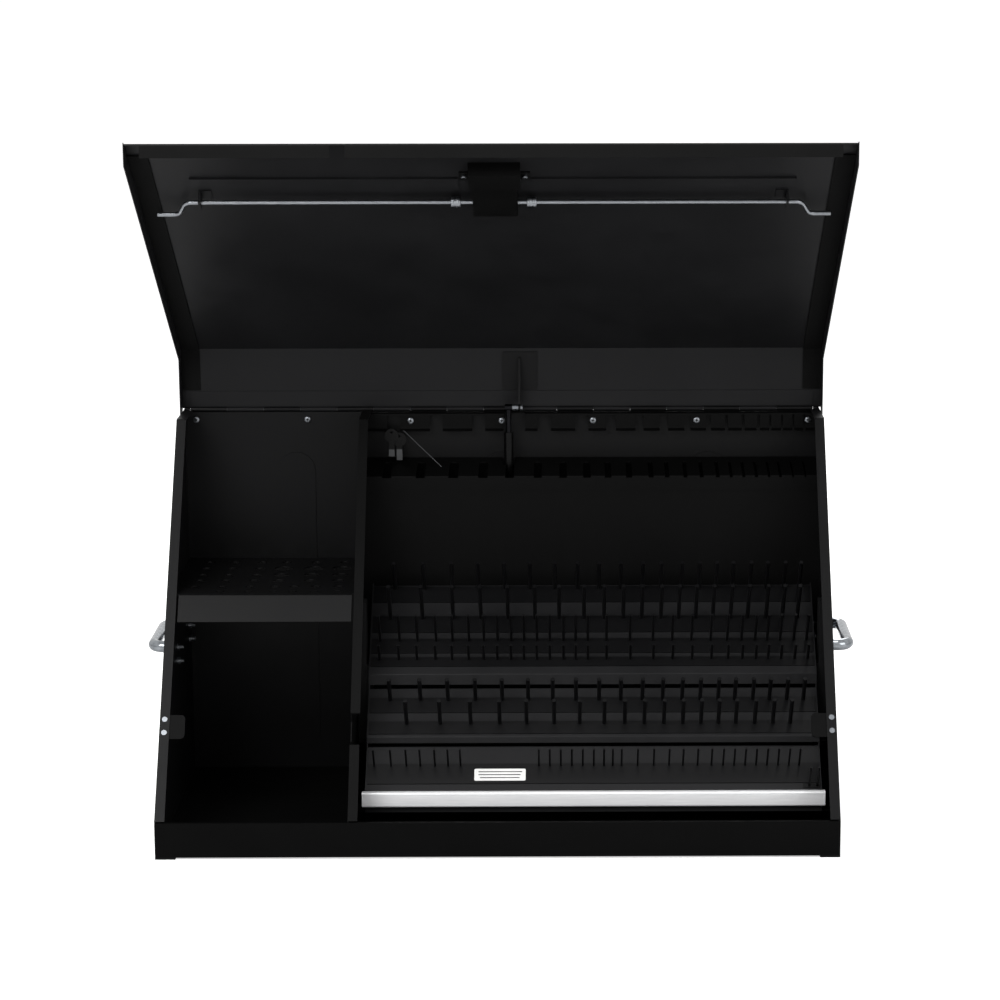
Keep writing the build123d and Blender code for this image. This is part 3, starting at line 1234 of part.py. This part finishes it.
with BuildPart() as keys:
    for key_place, key_drop, layer in ((-160.8, 41.0, 1), (-172.8, 35.0, 2)):
        key_x = across(key_place)
        key_up = CASE_HEIGHT - key_drop
        key_rear = TIE_TOP[1] - TIE_RADIUS - 1.6 - (layer - 1) * (KEY_THICKNESS + RUN_GAP)
        key_front = key_rear - KEY_THICKNESS
        round_bar((key_x, key_front, key_up), (key_x, key_rear, key_up), KEY_BOW_RADIUS)
        slab((key_x - 4, key_x + 4), (key_front, key_rear), (key_up - KEY_LENGTH, key_up))
        round_bar(
            (key_x, key_front - 1, key_up + 5), (key_x, key_rear + 1, key_up + 5), 2, Mode.SUBTRACT
        )
save("keys", keys.part)
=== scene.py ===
import json
import math

import bpy
import numpy as np
from mathutils import Matrix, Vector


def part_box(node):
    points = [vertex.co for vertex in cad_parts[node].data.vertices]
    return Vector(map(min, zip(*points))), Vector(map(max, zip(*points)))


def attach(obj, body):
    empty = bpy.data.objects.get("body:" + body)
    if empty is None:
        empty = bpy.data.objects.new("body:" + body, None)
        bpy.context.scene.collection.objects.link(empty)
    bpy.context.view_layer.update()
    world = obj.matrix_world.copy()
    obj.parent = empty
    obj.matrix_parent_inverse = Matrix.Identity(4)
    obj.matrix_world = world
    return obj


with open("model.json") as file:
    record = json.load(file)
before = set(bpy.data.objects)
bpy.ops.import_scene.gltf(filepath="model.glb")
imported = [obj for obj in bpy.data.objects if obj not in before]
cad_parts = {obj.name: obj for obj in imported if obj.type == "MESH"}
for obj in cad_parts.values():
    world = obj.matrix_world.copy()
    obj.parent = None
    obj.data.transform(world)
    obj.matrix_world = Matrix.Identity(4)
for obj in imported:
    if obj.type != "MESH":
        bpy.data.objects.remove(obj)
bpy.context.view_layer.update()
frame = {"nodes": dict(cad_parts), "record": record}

nodes = frame["nodes"]

# Every length below is in metres, in the frame of the CAD: X right, Y back, Z up.
MM = 0.001


# ---------------------------------------------------------------- camera

CAMERA_PLACE = (0.0933, -3.97776, 1.2346)
CAMERA_YAW = math.radians(0.47)
CAMERA_PITCH = math.radians(11.137)
CAMERA_ROLL = math.radians(-0.063)
CAMERA_LENS = 106.85
CAMERA_SHIFT = -0.0908


def make_camera():
    """A camera from its place, its turn about Z, its tilt down and its roll about the view line.

    forward = (cos p sin y, cos p cos y, -sin p), right = (cos y, -sin y, 0) and
    up = (sin p sin y, sin p cos y, cos p), then right and up are rolled by r.
    """
    sin_yaw, cos_yaw = math.sin(CAMERA_YAW), math.cos(CAMERA_YAW)
    sin_pitch, cos_pitch = math.sin(CAMERA_PITCH), math.cos(CAMERA_PITCH)
    sin_roll, cos_roll = math.sin(CAMERA_ROLL), math.cos(CAMERA_ROLL)
    forward = np.array((cos_pitch * sin_yaw, cos_pitch * cos_yaw, -sin_pitch))
    flat_right = np.array((cos_yaw, -sin_yaw, 0.0))
    flat_up = np.array((sin_pitch * sin_yaw, sin_pitch * cos_yaw, cos_pitch))
    right = cos_roll * flat_right + sin_roll * flat_up
    up = cos_roll * flat_up - sin_roll * flat_right
    turn = np.eye(4)
    turn[:3, 0], turn[:3, 1], turn[:3, 2] = right, up, -forward
    turn[:3, 3] = CAMERA_PLACE
    lens = bpy.data.cameras.new("photo_camera")
    lens.lens = CAMERA_LENS
    lens.sensor_width = 36.0
    lens.shift_x = CAMERA_SHIFT
    lens.clip_end = 200.0
    camera = bpy.data.objects.new("photo_camera", lens)
    camera.matrix_world = Matrix(turn.tolist())
    bpy.context.scene.collection.objects.link(camera)
    bpy.context.scene.camera = camera


make_camera()


# ---------------------------------------------------------------- materials

def linear(hex_colour):
    """An sRGB hex colour as linear red, green, blue and 1."""
    values = [int(hex_colour[i:i + 2], 16) / 255 for i in (1, 3, 5)]
    return tuple(v / 12.92 if v <= 0.04045 else ((v + 0.055) / 1.055) ** 2.4 for v in values) + (1.0,)


def node(owner, kind, settings=None, **links):
    """Adds a node to a material or to the world.

    settings are its properties, its sockets' values or its ramp's stops. links join its sockets, by
    name or by an underscore and a number, to (node, output).
    """
    made = owner.node_tree.nodes.new(kind)
    for name, value in (settings or {}).items():
        if name == "stops":
            for stop, (position, colour) in zip(made.color_ramp.elements, value):
                stop.position, stop.color = position, colour
        elif hasattr(made, name):
            setattr(made, name, value)
        else:
            made.inputs[name].default_value = value
    for name, source in links.items():
        socket = made.inputs[int(name[1:])] if name[0] == "_" else made.inputs[name.replace("_", " ")]
        owner.node_tree.links.new(source[0].outputs[source[1]], socket)
    return made


def new_material(name, **shader):
    """A material with one Principled shader, whose constant values sit on its own sockets."""
    material = bpy.data.materials.new(name)
    material.use_nodes = True
    principled = material.node_tree.nodes["Principled BSDF"]
    for socket, value in shader.items():
        principled.inputs[socket.replace("_", " ")].default_value = value
    return material, principled


def join(owner, source, output, target, socket):
    """Links one output to one input."""
    owner.node_tree.links.new(source.outputs[output], target.inputs[socket])


def grains_per_metre(millimetres):
    """Noise scale for a grain of a real size."""
    return 1.0 / (millimetres * MM)


def powder_coat(
    name, colour, light_colour, roughness, peel_mm=2.2, peel_depth=0.16, sheen=0.1, painted_light_and_two_tone=()
):
    """Polyester powder coat, baked on sheet steel: nearly black, semi-gloss, with a fine orange peel.

    The real peel is about 1 mm across. It is drawn at 2.2 mm so that it shows in the render.
    Broad cloudy changes of roughness stand for handling marks. The sheen is the share of the usual
    dielectric reflection that the dark coat shows in the photograph. Each zone row is an axis, where
    along it the coat begins and ends to change, in metres, and the colour that it changes to. On the lid
    these rows are painted shade and a painted highlight; on the keys they give the blades their own
    nickel colour.
    """
    material, shader = new_material(name, Metallic=0.0, IOR=1.5, Specular_IOR_Level=sheen)
    place = node(material, "ShaderNodeTexCoord")
    clouds = node(
        material, "ShaderNodeTexNoise",
        {"Scale": grains_per_metre(140), "Detail": 4.0, "Roughness": 0.6}, Vector=(place, "Object"),
    )
    tone = node(
        material, "ShaderNodeValToRGB", {"stops": ((0.3, linear(colour)), (0.7, linear(light_colour)))},
        Fac=(clouds, "Fac"),
    )
    where = node(material, "ShaderNodeSeparateXYZ", Vector=(place, "Object"))
    for axis, begins, ends, painted_light_and_tone_colour in painted_light_and_two_tone:
        share = node(
            material, "ShaderNodeMapRange", {"From Min": begins, "From Max": ends}, Value=(where, axis)
        )
        tone = node(
            material, "ShaderNodeMixRGB", {"Color2": linear(painted_light_and_tone_colour)},
            Fac=(share, "Result"), Color1=(tone, "Color"),
        )
    join(material, tone, "Color", shader, "Base Color")
    gloss = node(
        material, "ShaderNodeMapRange",
        {"From Min": 0.3, "From Max": 0.7, "To Min": roughness - 0.05, "To Max": roughness + 0.07},
        Value=(clouds, "Fac"),
    )
    join(material, gloss, "Result", shader, "Roughness")
    peel = node(
        material, "ShaderNodeTexNoise",
        {"Scale": grains_per_metre(peel_mm), "Detail": 2.0}, Vector=(place, "Object"),
    )
    bump = node(
        material, "ShaderNodeBump", {"Strength": peel_depth, "Distance": 0.05 * MM}, Height=(peel, "Fac")
    )
    join(material, bump, "Normal", shader, "Normal")
    return material


def bare_metal(
    name, colour, dark_colour, roughness, stretch=(1, 1, 1), grain_mm=1.0, depth=0.15, metallic=1.0
):
    """A bare or plated metal with a fine grain; stretch draws the grain out along brushed lines."""
    material, shader = new_material(name, Metallic=metallic)
    place = node(material, "ShaderNodeTexCoord")
    along = node(material, "ShaderNodeMapping", {"Scale": stretch}, Vector=(place, "Object"))
    grain = node(
        material, "ShaderNodeTexNoise",
        {"Scale": grains_per_metre(grain_mm), "Detail": 5.0, "Roughness": 0.65}, Vector=(along, "Vector"),
    )
    tone = node(
        material, "ShaderNodeValToRGB", {"stops": ((0.25, linear(dark_colour)), (0.6, linear(colour)))},
        Fac=(grain, "Fac"),
    )
    join(material, tone, "Color", shader, "Base Color")
    gloss = node(
        material, "ShaderNodeMapRange",
        {"From Min": 0.3, "From Max": 0.7, "To Min": roughness * 0.8, "To Max": roughness * 1.25},
        Value=(grain, "Fac"),
    )
    join(material, gloss, "Result", shader, "Roughness")
    bump = node(
        material, "ShaderNodeBump", {"Strength": depth, "Distance": 0.03 * MM}, Height=(grain, "Fac")
    )
    join(material, bump, "Normal", shader, "Normal")
    return material


case_coat = powder_coat("black_powder_coat_case", "#090909", "#0c0c0d", 0.42)
# The racks, back panel, strikers and divider inside the case take a darker, less glossy copy of the black
# coat: painted shade.
inside_painted_shade_coat = powder_coat("black_powder_coat_inside_painted_shade", "#050505", "#080808", 0.5, sheen=0.05)
# The floor pan takes a darker, less glossy copy of the black coat: painted shade on its front band.
floor_pan_painted_shade_coat = powder_coat("black_powder_coat_floor_pan_painted_shade", "#060606", "#080808", 0.5, sheen=0.03)
# The lid takes a lighter copy of the black coat: painted light on its lit inner face. Its front face
# # is darkened, painted shade, and a light line along its top edge is a painted highlight.
LID_FRONT_FACE_PAINTED_SHADE = ("Y", -0.2478, -0.2488, "#070707")
LID_TOP_EDGE_PAINTED_HIGHLIGHT = ("Z", 0.9562, 0.9567, "#3c3c3e")
lid_painted_light_coat = powder_coat(
    "black_powder_coat_lid_painted_light_and_shade", "#131314", "#181819", 0.46, painted_light_and_two_tone=(LID_FRONT_FACE_PAINTED_SHADE, LID_TOP_EDGE_PAINTED_HIGHLIGHT)
)
# The socket trays and the organizer's sides take a lighter copy of the black coat: painted light where the
# up-facing trays catch the lamps.
tray_painted_light_coat = powder_coat("black_powder_coat_trays_painted_light", "#19191a", "#1f1f20", 0.40)
peg_coat = powder_coat("black_powder_coat_pegs", "#0a0a0b", "#0d0d0e", 0.35, peel_mm=1.2)
latch_coat = powder_coat("black_e_coat_latch", "#070707", "#0a0a0a", 0.38)
strut_paint = powder_coat("black_enamel_strut", "#050505", "#080808", 0.22, peel_depth=0.05)
# The keys' bows are moulded black; below them the blades are dull nickel plate.
key_finish = powder_coat(
    "black_key_bow_and_nickel_blade", "#080808", "#0b0b0b", 0.4, painted_light_and_two_tone=(("Z", 0.4835, 0.4825, "#4e4f50"),)
)
chrome = bare_metal("polished_chrome_plate", "#8f9397", "#64686c", 0.12, grain_mm=9, depth=0.03)
zinc = bare_metal("bright_zinc_plate", "#8d9094", "#6f7276", 0.34, grain_mm=1.2)
screw_zinc = bare_metal("dull_zinc_plate_screws", "#7b7e82", "#5c5f63", 0.36, grain_mm=0.9)
drawn_rod = bare_metal(
    "drawn_zinc_plated_rod", "#8e9195", "#6d7074", 0.30, stretch=(0.06, 1, 1), grain_mm=0.8
)
steel_cable = bare_metal("plastic_covered_steel_cable", "#3b3c3e", "#2c2d2f", 0.5, grain_mm=1.0, metallic=0.5)
aluminium = bare_metal(
    "satin_anodised_aluminium", "#f4f4f5", "#e6e7e9", 0.45, stretch=(0.02, 1, 1), grain_mm=0.9, depth=0.2,
    metallic=0.3,
)
nitrided_rod = bare_metal("black_nitrided_piston_rod", "#1b1b1d", "#131314", 0.3, grain_mm=3, depth=0.04)


def foam_rubber(name, colour, light_colour):
    """Closed-cell foam rubber: dull black, with cells about 0.7 mm across, drawn at 1.5 mm to show."""
    material, shader = new_material(name, Roughness=0.9, Specular_IOR_Level=0.08)
    place = node(material, "ShaderNodeTexCoord")
    cells = node(material, "ShaderNodeTexVoronoi", {"Scale": grains_per_metre(1.5)}, Vector=(place, "Object"))
    tone = node(
        material, "ShaderNodeValToRGB", {"stops": ((0.1, linear(light_colour)), (0.6, linear(colour)))},
        Fac=(cells, "Distance"),
    )
    join(material, tone, "Color", shader, "Base Color")
    bump = node(
        material, "ShaderNodeBump", {"Strength": 0.4, "Distance": 0.1 * MM}, Height=(cells, "Distance")
    )
    join(material, bump, "Normal", shader, "Normal")
    return material


def printed_film(name, colour, dark_colour, grain_mm, roughness):
    """White polypropylene film: smooth, a little uneven in tone."""
    material, shader = new_material(name, Roughness=roughness, Specular_IOR_Level=0.3)
    place = node(material, "ShaderNodeTexCoord")
    tone_noise = node(
        material, "ShaderNodeTexNoise", {"Scale": grains_per_metre(grain_mm)}, Vector=(place, "Object")
    )
    tone = node(
        material, "ShaderNodeValToRGB", {"stops": ((0.3, linear(dark_colour)), (0.7, linear(colour)))},
        Fac=(tone_noise, "Fac"),
    )
    join(material, tone, "Color", shader, "Base Color")
    return material


seal_foam = foam_rubber("closed_cell_foam_rubber", "#080808", "#0d0d0d")
label_film = printed_film("white_label_film", "#e4e4e2", "#dadad8", 30, 0.45)
label_ink = printed_film("grey_printing_ink", "#6a6a6a", "#5c5c5c", 3, 0.6)

NODE_FINISHES = {
    "black_powder_coat": case_coat,
    "chrome_plate": chrome,
    "zinc_plate": zinc,
    "anodised_aluminium": aluminium,
    "foam_rubber": seal_foam,
    "white_label": label_film,
}
OWN_FINISHES = {
    "lid_shell": lid_painted_light_coat, "stiffener": lid_painted_light_coat, "moving_hinge_leaf": lid_painted_light_coat,
    "latch_housing": latch_coat, "rod_guides": lid_painted_light_coat, "paddle_handle": latch_coat,
    "left_lock_rod": drawn_rod, "right_lock_rod": drawn_rod,
    "strut_cylinder": strut_paint, "strut_rod": nitrided_rod, "strut_bracket": case_coat,
    "hinge_screws": screw_zinc, "flange_screws": screw_zinc, "latch_screws": screw_zinc,
    "ball_stud": screw_zinc, "keys": key_finish, "key_tie": steel_cable, "floor_pan": floor_pan_painted_shade_coat,
    "upper_wrench_rack": inside_painted_shade_coat, "lower_wrench_rack": inside_painted_shade_coat, "rear_panel": inside_painted_shade_coat,
    "left_striker": inside_painted_shade_coat, "right_striker": inside_painted_shade_coat, "divider": inside_painted_shade_coat,
    "upper_socket_tray": tray_painted_light_coat, "middle_socket_tray": tray_painted_light_coat, "lower_socket_tray": tray_painted_light_coat,
    "left_organizer_side": tray_painted_light_coat, "right_organizer_side": tray_painted_light_coat,
}
for number in range(1, 9):
    OWN_FINISHES[f"peg_row_{number}"] = peg_coat

for row in frame["record"]["subparts"]:
    name = row["node"]
    finish = OWN_FINISHES.get(name, NODE_FINISHES[row["material_slot"]])
    cad_object = nodes[name]
    cad_object.data.materials.clear()
    cad_object.data.materials.append(finish)


# ---------------------------------------------------------------- surfaces

def add_surface(name, points, body, finish, closed_around=True, capped=True):
    """A mesh from a grid of points, one row per step along it; each row is one closed or open section.

    Quads join row i to row i + 1; capped ends get one polygon each.
    """
    rows, around = points.shape[:2]
    row, column = np.meshgrid(
        np.arange(rows - 1), np.arange(around if closed_around else around - 1), indexing="ij"
    )
    after = (column + 1) % around
    here, ahead = row * around, (row + 1) * around
    quads = np.stack((here + column, here + after, ahead + after, ahead + column), axis=-1)
    faces = quads.reshape(-1, 4).tolist()
    if capped and closed_around:
        faces.append(list(range(around))[::-1])
        faces.append([(rows - 1) * around + k for k in range(around)])
    mesh = bpy.data.meshes.new(name)
    mesh.from_pydata(points.reshape(-1, 3).tolist(), [], faces)
    mesh.polygons.foreach_set("use_smooth", [True] * len(mesh.polygons))
    mesh.update()
    mesh.materials.append(finish)
    piece = bpy.data.objects.new(name, mesh)
    bpy.context.scene.collection.objects.link(piece)
    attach(piece, body)
    return piece


def turned_surface(name, start, outward, profile, body, finish, segments=24, lobes=0):
    """A surface turned about the line from start along outward.

    profile is rows of (distance along the line, radius, depth of lobes). At the angle a the radius is
    r + depth * cos(lobes * a), which makes a knurl where the depth is small and a cross where it is large.
    """
    start = np.array(start, float)
    axis = np.array(outward, float)
    axis /= np.linalg.norm(axis)
    helper = np.array((0.0, 0.0, 1.0)) if abs(axis[2]) < 0.9 else np.array((1.0, 0.0, 0.0))
    side = np.cross(helper, axis)
    side /= np.linalg.norm(side)
    other = np.cross(axis, side)
    profile = np.array(profile, float)
    angle = np.linspace(0, 2 * np.pi, segments, endpoint=False)
    radius = profile[:, 1][:, None] + profile[:, 2][:, None] * np.cos(lobes * angle)[None, :]
    points = (
        start + profile[:, 0][:, None, None] * axis
        + radius[..., None] * (np.cos(angle)[None, :, None] * side + np.sin(angle)[None, :, None] * other)
    )
    return add_surface(name, points, body, finish)


def flat_strip(name, corners, thickness, outward, body, finish):
    """A thin plate: four corners in order, carried outwards by its thickness."""
    base = np.array(corners, float)
    lift = np.array(outward, float) * thickness
    return add_surface(name, np.stack((base, base + lift)), body, finish)


# The tray face that carries the label: X across, then down the tray, then off its face.
TRAY_ANGLE = math.radians(41.0)
LABEL_LOW, LABEL_HIGH = (np.array(corner, float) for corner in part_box("blank_label"))
DOWN_TRAY = np.array((0.0, -math.cos(TRAY_ANGLE), -math.sin(TRAY_ANGLE)))
OFF_TRAY = np.array((0.0, -math.sin(TRAY_ANGLE), math.cos(TRAY_ANGLE)))
LABEL_THICKNESS = 0.6 * MM
INK_THICKNESS = 0.05 * MM
RULE_HEIGHT = 1.6 * MM
RULES = ((0.26, 0.08, 0.93), (0.50, 0.08, 0.90), (0.74, 0.11, 0.88))


def label_rules():
    """Three ruled lines on the label: each is at a share of its length, between two shares of its width."""
    top = np.array((0.0, LABEL_HIGH[1], LABEL_HIGH[2]))
    bottom = np.array((0.0, LABEL_LOW[1], LABEL_LOW[2]))
    reach = abs(np.dot(bottom - top, DOWN_TRAY))
    middle = (top + bottom) / 2
    face = middle + OFF_TRAY * (LABEL_THICKNESS / 2)
    for count, (down, start, end) in enumerate(RULES, start=1):
        centre = face + DOWN_TRAY * (down - 0.5) * reach
        x_start = LABEL_LOW[0] + start * (LABEL_HIGH[0] - LABEL_LOW[0])
        x_end = LABEL_LOW[0] + end * (LABEL_HIGH[0] - LABEL_LOW[0])
        upper = centre - DOWN_TRAY * RULE_HEIGHT / 2
        lower = centre + DOWN_TRAY * RULE_HEIGHT / 2
        corners = (
            (x_start, lower[1], lower[2]), (x_end, lower[1], lower[2]),
            (x_end, upper[1], upper[2]), (x_start, upper[1], upper[2]),
        )
        flat_strip(
            f"label_rule_{count}", corners, INK_THICKNESS, OFF_TRAY,
            "socket_organizer", label_ink,
        )


label_rules()


def rounded_bar(name, start, end, radius, body, finish, segments=16):
    """A straight round bar with rounded ends: over its first and last radius, r(t) is a quarter circle."""
    start, end = np.array(start, float), np.array(end, float)
    length = np.linalg.norm(end - start)
    turn = np.linspace(0.05, np.pi / 2, 6)
    nose = np.stack((radius * (1 - np.cos(turn)), radius * np.sin(turn), 0 * turn), axis=1)
    tail = nose[::-1] * (-1, 1, 1) + (length, 0, 0)
    profile = np.concatenate((nose, tail))
    return turned_surface(name, start, end - start, profile, body, finish, segments)


SCREW_RISE = 1.1 * MM


def screw_face(name, centre, outward, radius, body):
    """A pan head's domed face with a cross recess, over a screw's flat head.

    The dome's height is SCREW_RISE * (1 - (r / R) ** 2.5). The recess is a four-lobed cup in the black
    latch coat: painted shade, since the real recess is the same zinc as the head.
    """
    share = np.linspace(1.0, 0.4, 7)
    rise = SCREW_RISE * (1 - share ** 2.5)
    dome = np.stack((rise + 0.02 * MM, share * radius, 0 * share), axis=1)
    turned_surface(f"{name}_dome", centre, outward, dome, body, screw_zinc, 32)
    top = rise[-1] + 0.05 * MM
    cup = ((top - 0.03 * MM, 0.36 * radius, 0.13 * radius), (top, 0.33 * radius, 0.12 * radius),
           (top + 0.01 * MM, 0.05 * radius, 0.0))
    # The cup in black coat is painted shade inside the zinc cross recess.
    turned_surface(f"{name}_recess_painted_shade", centre, outward, cup, body, latch_coat, 32, lobes=4)


# Hinge screws: where across, and how far back the head's front is. The first two are in the left bay
# and stand on the back panel; the others stand on the upper rack.
ON_BACK_PANEL, ON_RACK = 0.2416, 0.2286
HINGE_HEADS = (
    (-0.44, ON_BACK_PANEL), (-0.28, ON_BACK_PANEL), (-0.131, ON_RACK), (0.0, ON_RACK),
    (0.131, ON_RACK), (0.28, ON_RACK), (0.44, ON_RACK),
)
HINGE_SCREW_UP = 0.523
HINGE_HEAD_RADIUS = 4.45 * MM
TO_FRONT = (0.0, -1.0, 0.0)
for count, (x, back) in enumerate(HINGE_HEADS, start=1):
    screw_face(f"hinge_screw_{count}", (x, back, HINGE_SCREW_UP), TO_FRONT, HINGE_HEAD_RADIUS, "case")

# The latch's screws, on the inner face of the open lid, which leans forward.
LID_LEAN = math.radians(33.85)
OFF_LID = (0.0, -math.sin(LID_LEAN), -math.cos(LID_LEAN))
LATCH_SCREW_XS = (-0.037, 0.041)
LATCH_SCREW_BACK, LATCH_SCREW_UP = -0.18408, 0.90686
LATCH_HEAD_RADIUS = 3.55 * MM
for count, x in enumerate(LATCH_SCREW_XS, start=1):
    place = (x, LATCH_SCREW_BACK, LATCH_SCREW_UP)
    screw_face(f"latch_screw_{count}", place, OFF_LID, LATCH_HEAD_RADIUS, "lid")

# Knurled sleeves over the clamps that hold the lock rods to the latch.
SLEEVE_START, SLEEVE_BACK, SLEEVE_UP = 0.0429, -0.14354, 0.87211
SLEEVE = np.array((
    (0, 6.2, 0), (0.5, 6.8, 0.12), (5.8, 6.8, 0.12), (6.0, 6.4, 0), (6.2, 6.8, 0.12),
    (11.7, 6.8, 0.12), (12.2, 6.2, 0),
)) * MM
for side, sign in (("left", -1), ("right", 1)):
    turned_surface(
        f"{side}_rod_sleeve", (sign * SLEEVE_START, SLEEVE_BACK, SLEEVE_UP), (sign, 0.0, 0.0), SLEEVE,
        f"{side}_rod", drawn_rod, 96, lobes=24,
    )


# The hinge's rolled end outside each outer knuckle, and the leaf's top edge behind the knuckles.
HINGE_BACK, HINGE_UP = 0.243712, 0.538
HINGE_END_INNER, HINGE_END_OUTER, HINGE_END_RADIUS = 0.4482, 0.457, 3.0 * MM
LEAF_HALF, BEAD_BACK, BEAD_UP, BEAD_RADIUS = 0.448, 0.24621, 0.5346, 0.75 * MM
for side, sign in (("left", -1), ("right", 1)):
    rounded_bar(
        f"hinge_end_{side}",
        (sign * HINGE_END_INNER, HINGE_BACK, HINGE_UP), (sign * HINGE_END_OUTER, HINGE_BACK, HINGE_UP),
        HINGE_END_RADIUS, "case", case_coat,
    )
rounded_bar(
    "hinge_leaf_bead", (-LEAF_HALF, BEAD_BACK, BEAD_UP), (LEAF_HALF, BEAD_BACK, BEAD_UP), BEAD_RADIUS,
    "case", case_coat,
)


# ---------------------------------------------------------------- studio

def make_floor():
    """A plain pale floor; seen directly it is lifted to white, and it keeps the object's soft shadow."""
    mesh = bpy.data.meshes.new("studio_floor")
    corners = [(x * FLOOR_HALF, y * FLOOR_HALF, FLOOR_UP) for x, y in ((-1, -1), (1, -1), (1, 1), (-1, 1))]
    mesh.from_pydata(corners, [], [(0, 1, 2, 3)])
    floor = bpy.data.objects.new("studio_floor", mesh)
    bpy.context.scene.collection.objects.link(floor)
    material, shader = new_material("matte_white_paper", Roughness=0.95, Specular_IOR_Level=0.05)
    shader.inputs["Base Color"].default_value = linear("#f2f2f2")
    seen = node(material, "ShaderNodeLightPath")
    lift = node(material, "ShaderNodeEmission", {"Color": linear("#ffffff"), "Strength": FLOOR_LIFT})
    black = node(material, "ShaderNodeEmission", {"Color": (0, 0, 0, 1), "Strength": 0.0})
    chosen = node(
        material, "ShaderNodeMixShader", None, Fac=(seen, "Is Camera Ray"), _1=(black, 0), _2=(lift, 0)
    )
    total = node(material, "ShaderNodeAddShader", None, _0=(shader, 0), _1=(chosen, 0))
    join(material, total, 0, material.node_tree.nodes["Material Output"], "Surface")
    mesh.materials.append(material)


def make_world():
    """A soft even sky: white where the camera, a reflection or a clear material sees it, greyer as light."""
    world = bpy.data.worlds.new("studio_sky")
    world.use_nodes = True
    bpy.context.scene.world = world
    light = world.node_tree.nodes["Background"]
    light.inputs["Color"].default_value = linear("#ffffff")
    light.inputs["Strength"].default_value = SKY_LIGHT
    seen = node(world, "ShaderNodeBackground", {"Color": linear("#ffffff"), "Strength": 1.0})
    path = node(world, "ShaderNodeLightPath")
    either = node(
        world, "ShaderNodeMath", {"operation": "MAXIMUM"},
        _0=(path, "Is Camera Ray"), _1=(path, "Is Glossy Ray"),
    )
    clear = node(
        world, "ShaderNodeMath", {"operation": "MAXIMUM"}, _0=(either, 0), _1=(path, "Is Transmission Ray")
    )
    mix = node(world, "ShaderNodeMixShader", None, _0=(clear, 0), _1=(light, 0), _2=(seen, 0))
    join(world, mix, 0, world.node_tree.nodes["World Output"], "Surface")


def area_lamp(name, place, aim, size, watts):
    """A square soft box at a place, aimed at a point."""
    lamp = bpy.data.lights.new(name, "AREA")
    lamp.size = size
    lamp.energy = watts
    holder = bpy.data.objects.new(name, lamp)
    direction = np.array(aim, float) - np.array(place, float)
    direction /= np.linalg.norm(direction)
    side = np.cross(direction, (0.0, 0.0, 1.0))
    side /= np.linalg.norm(side)
    up = np.cross(side, direction)
    turn = np.eye(4)
    turn[:3, 0], turn[:3, 1], turn[:3, 2], turn[:3, 3] = side, up, -direction, place
    holder.matrix_world = Matrix(turn.tolist())
    bpy.context.scene.collection.objects.link(holder)


FLOOR_HALF, FLOOR_UP = 60.0, -0.4 * MM
FLOOR_LIFT = 0.55
SKY_LIGHT = 0.55
AIM = (0.0, 0.0, 0.45)
# Each soft box: its place, the length of its side in metres, and its watts.
LAMPS = (
    ("key_soft_box", (-1.6, -2.6, 2.6), 1.8, 95.0),
    ("fill_soft_box", (2.4, -2.2, 1.6), 2.0, 35.0),
    ("top_soft_box", (0.0, -0.6, 3.2), 1.6, 45.0),
    ("rear_soft_box", (0.3, 3.0, 2.4), 2.0, 50.0),
)
make_floor()
make_world()
for name, place, size, watts in LAMPS:
    area_lamp(name, place, AIM, size, watts)

bpy.context.scene.view_settings.view_transform = "Standard"
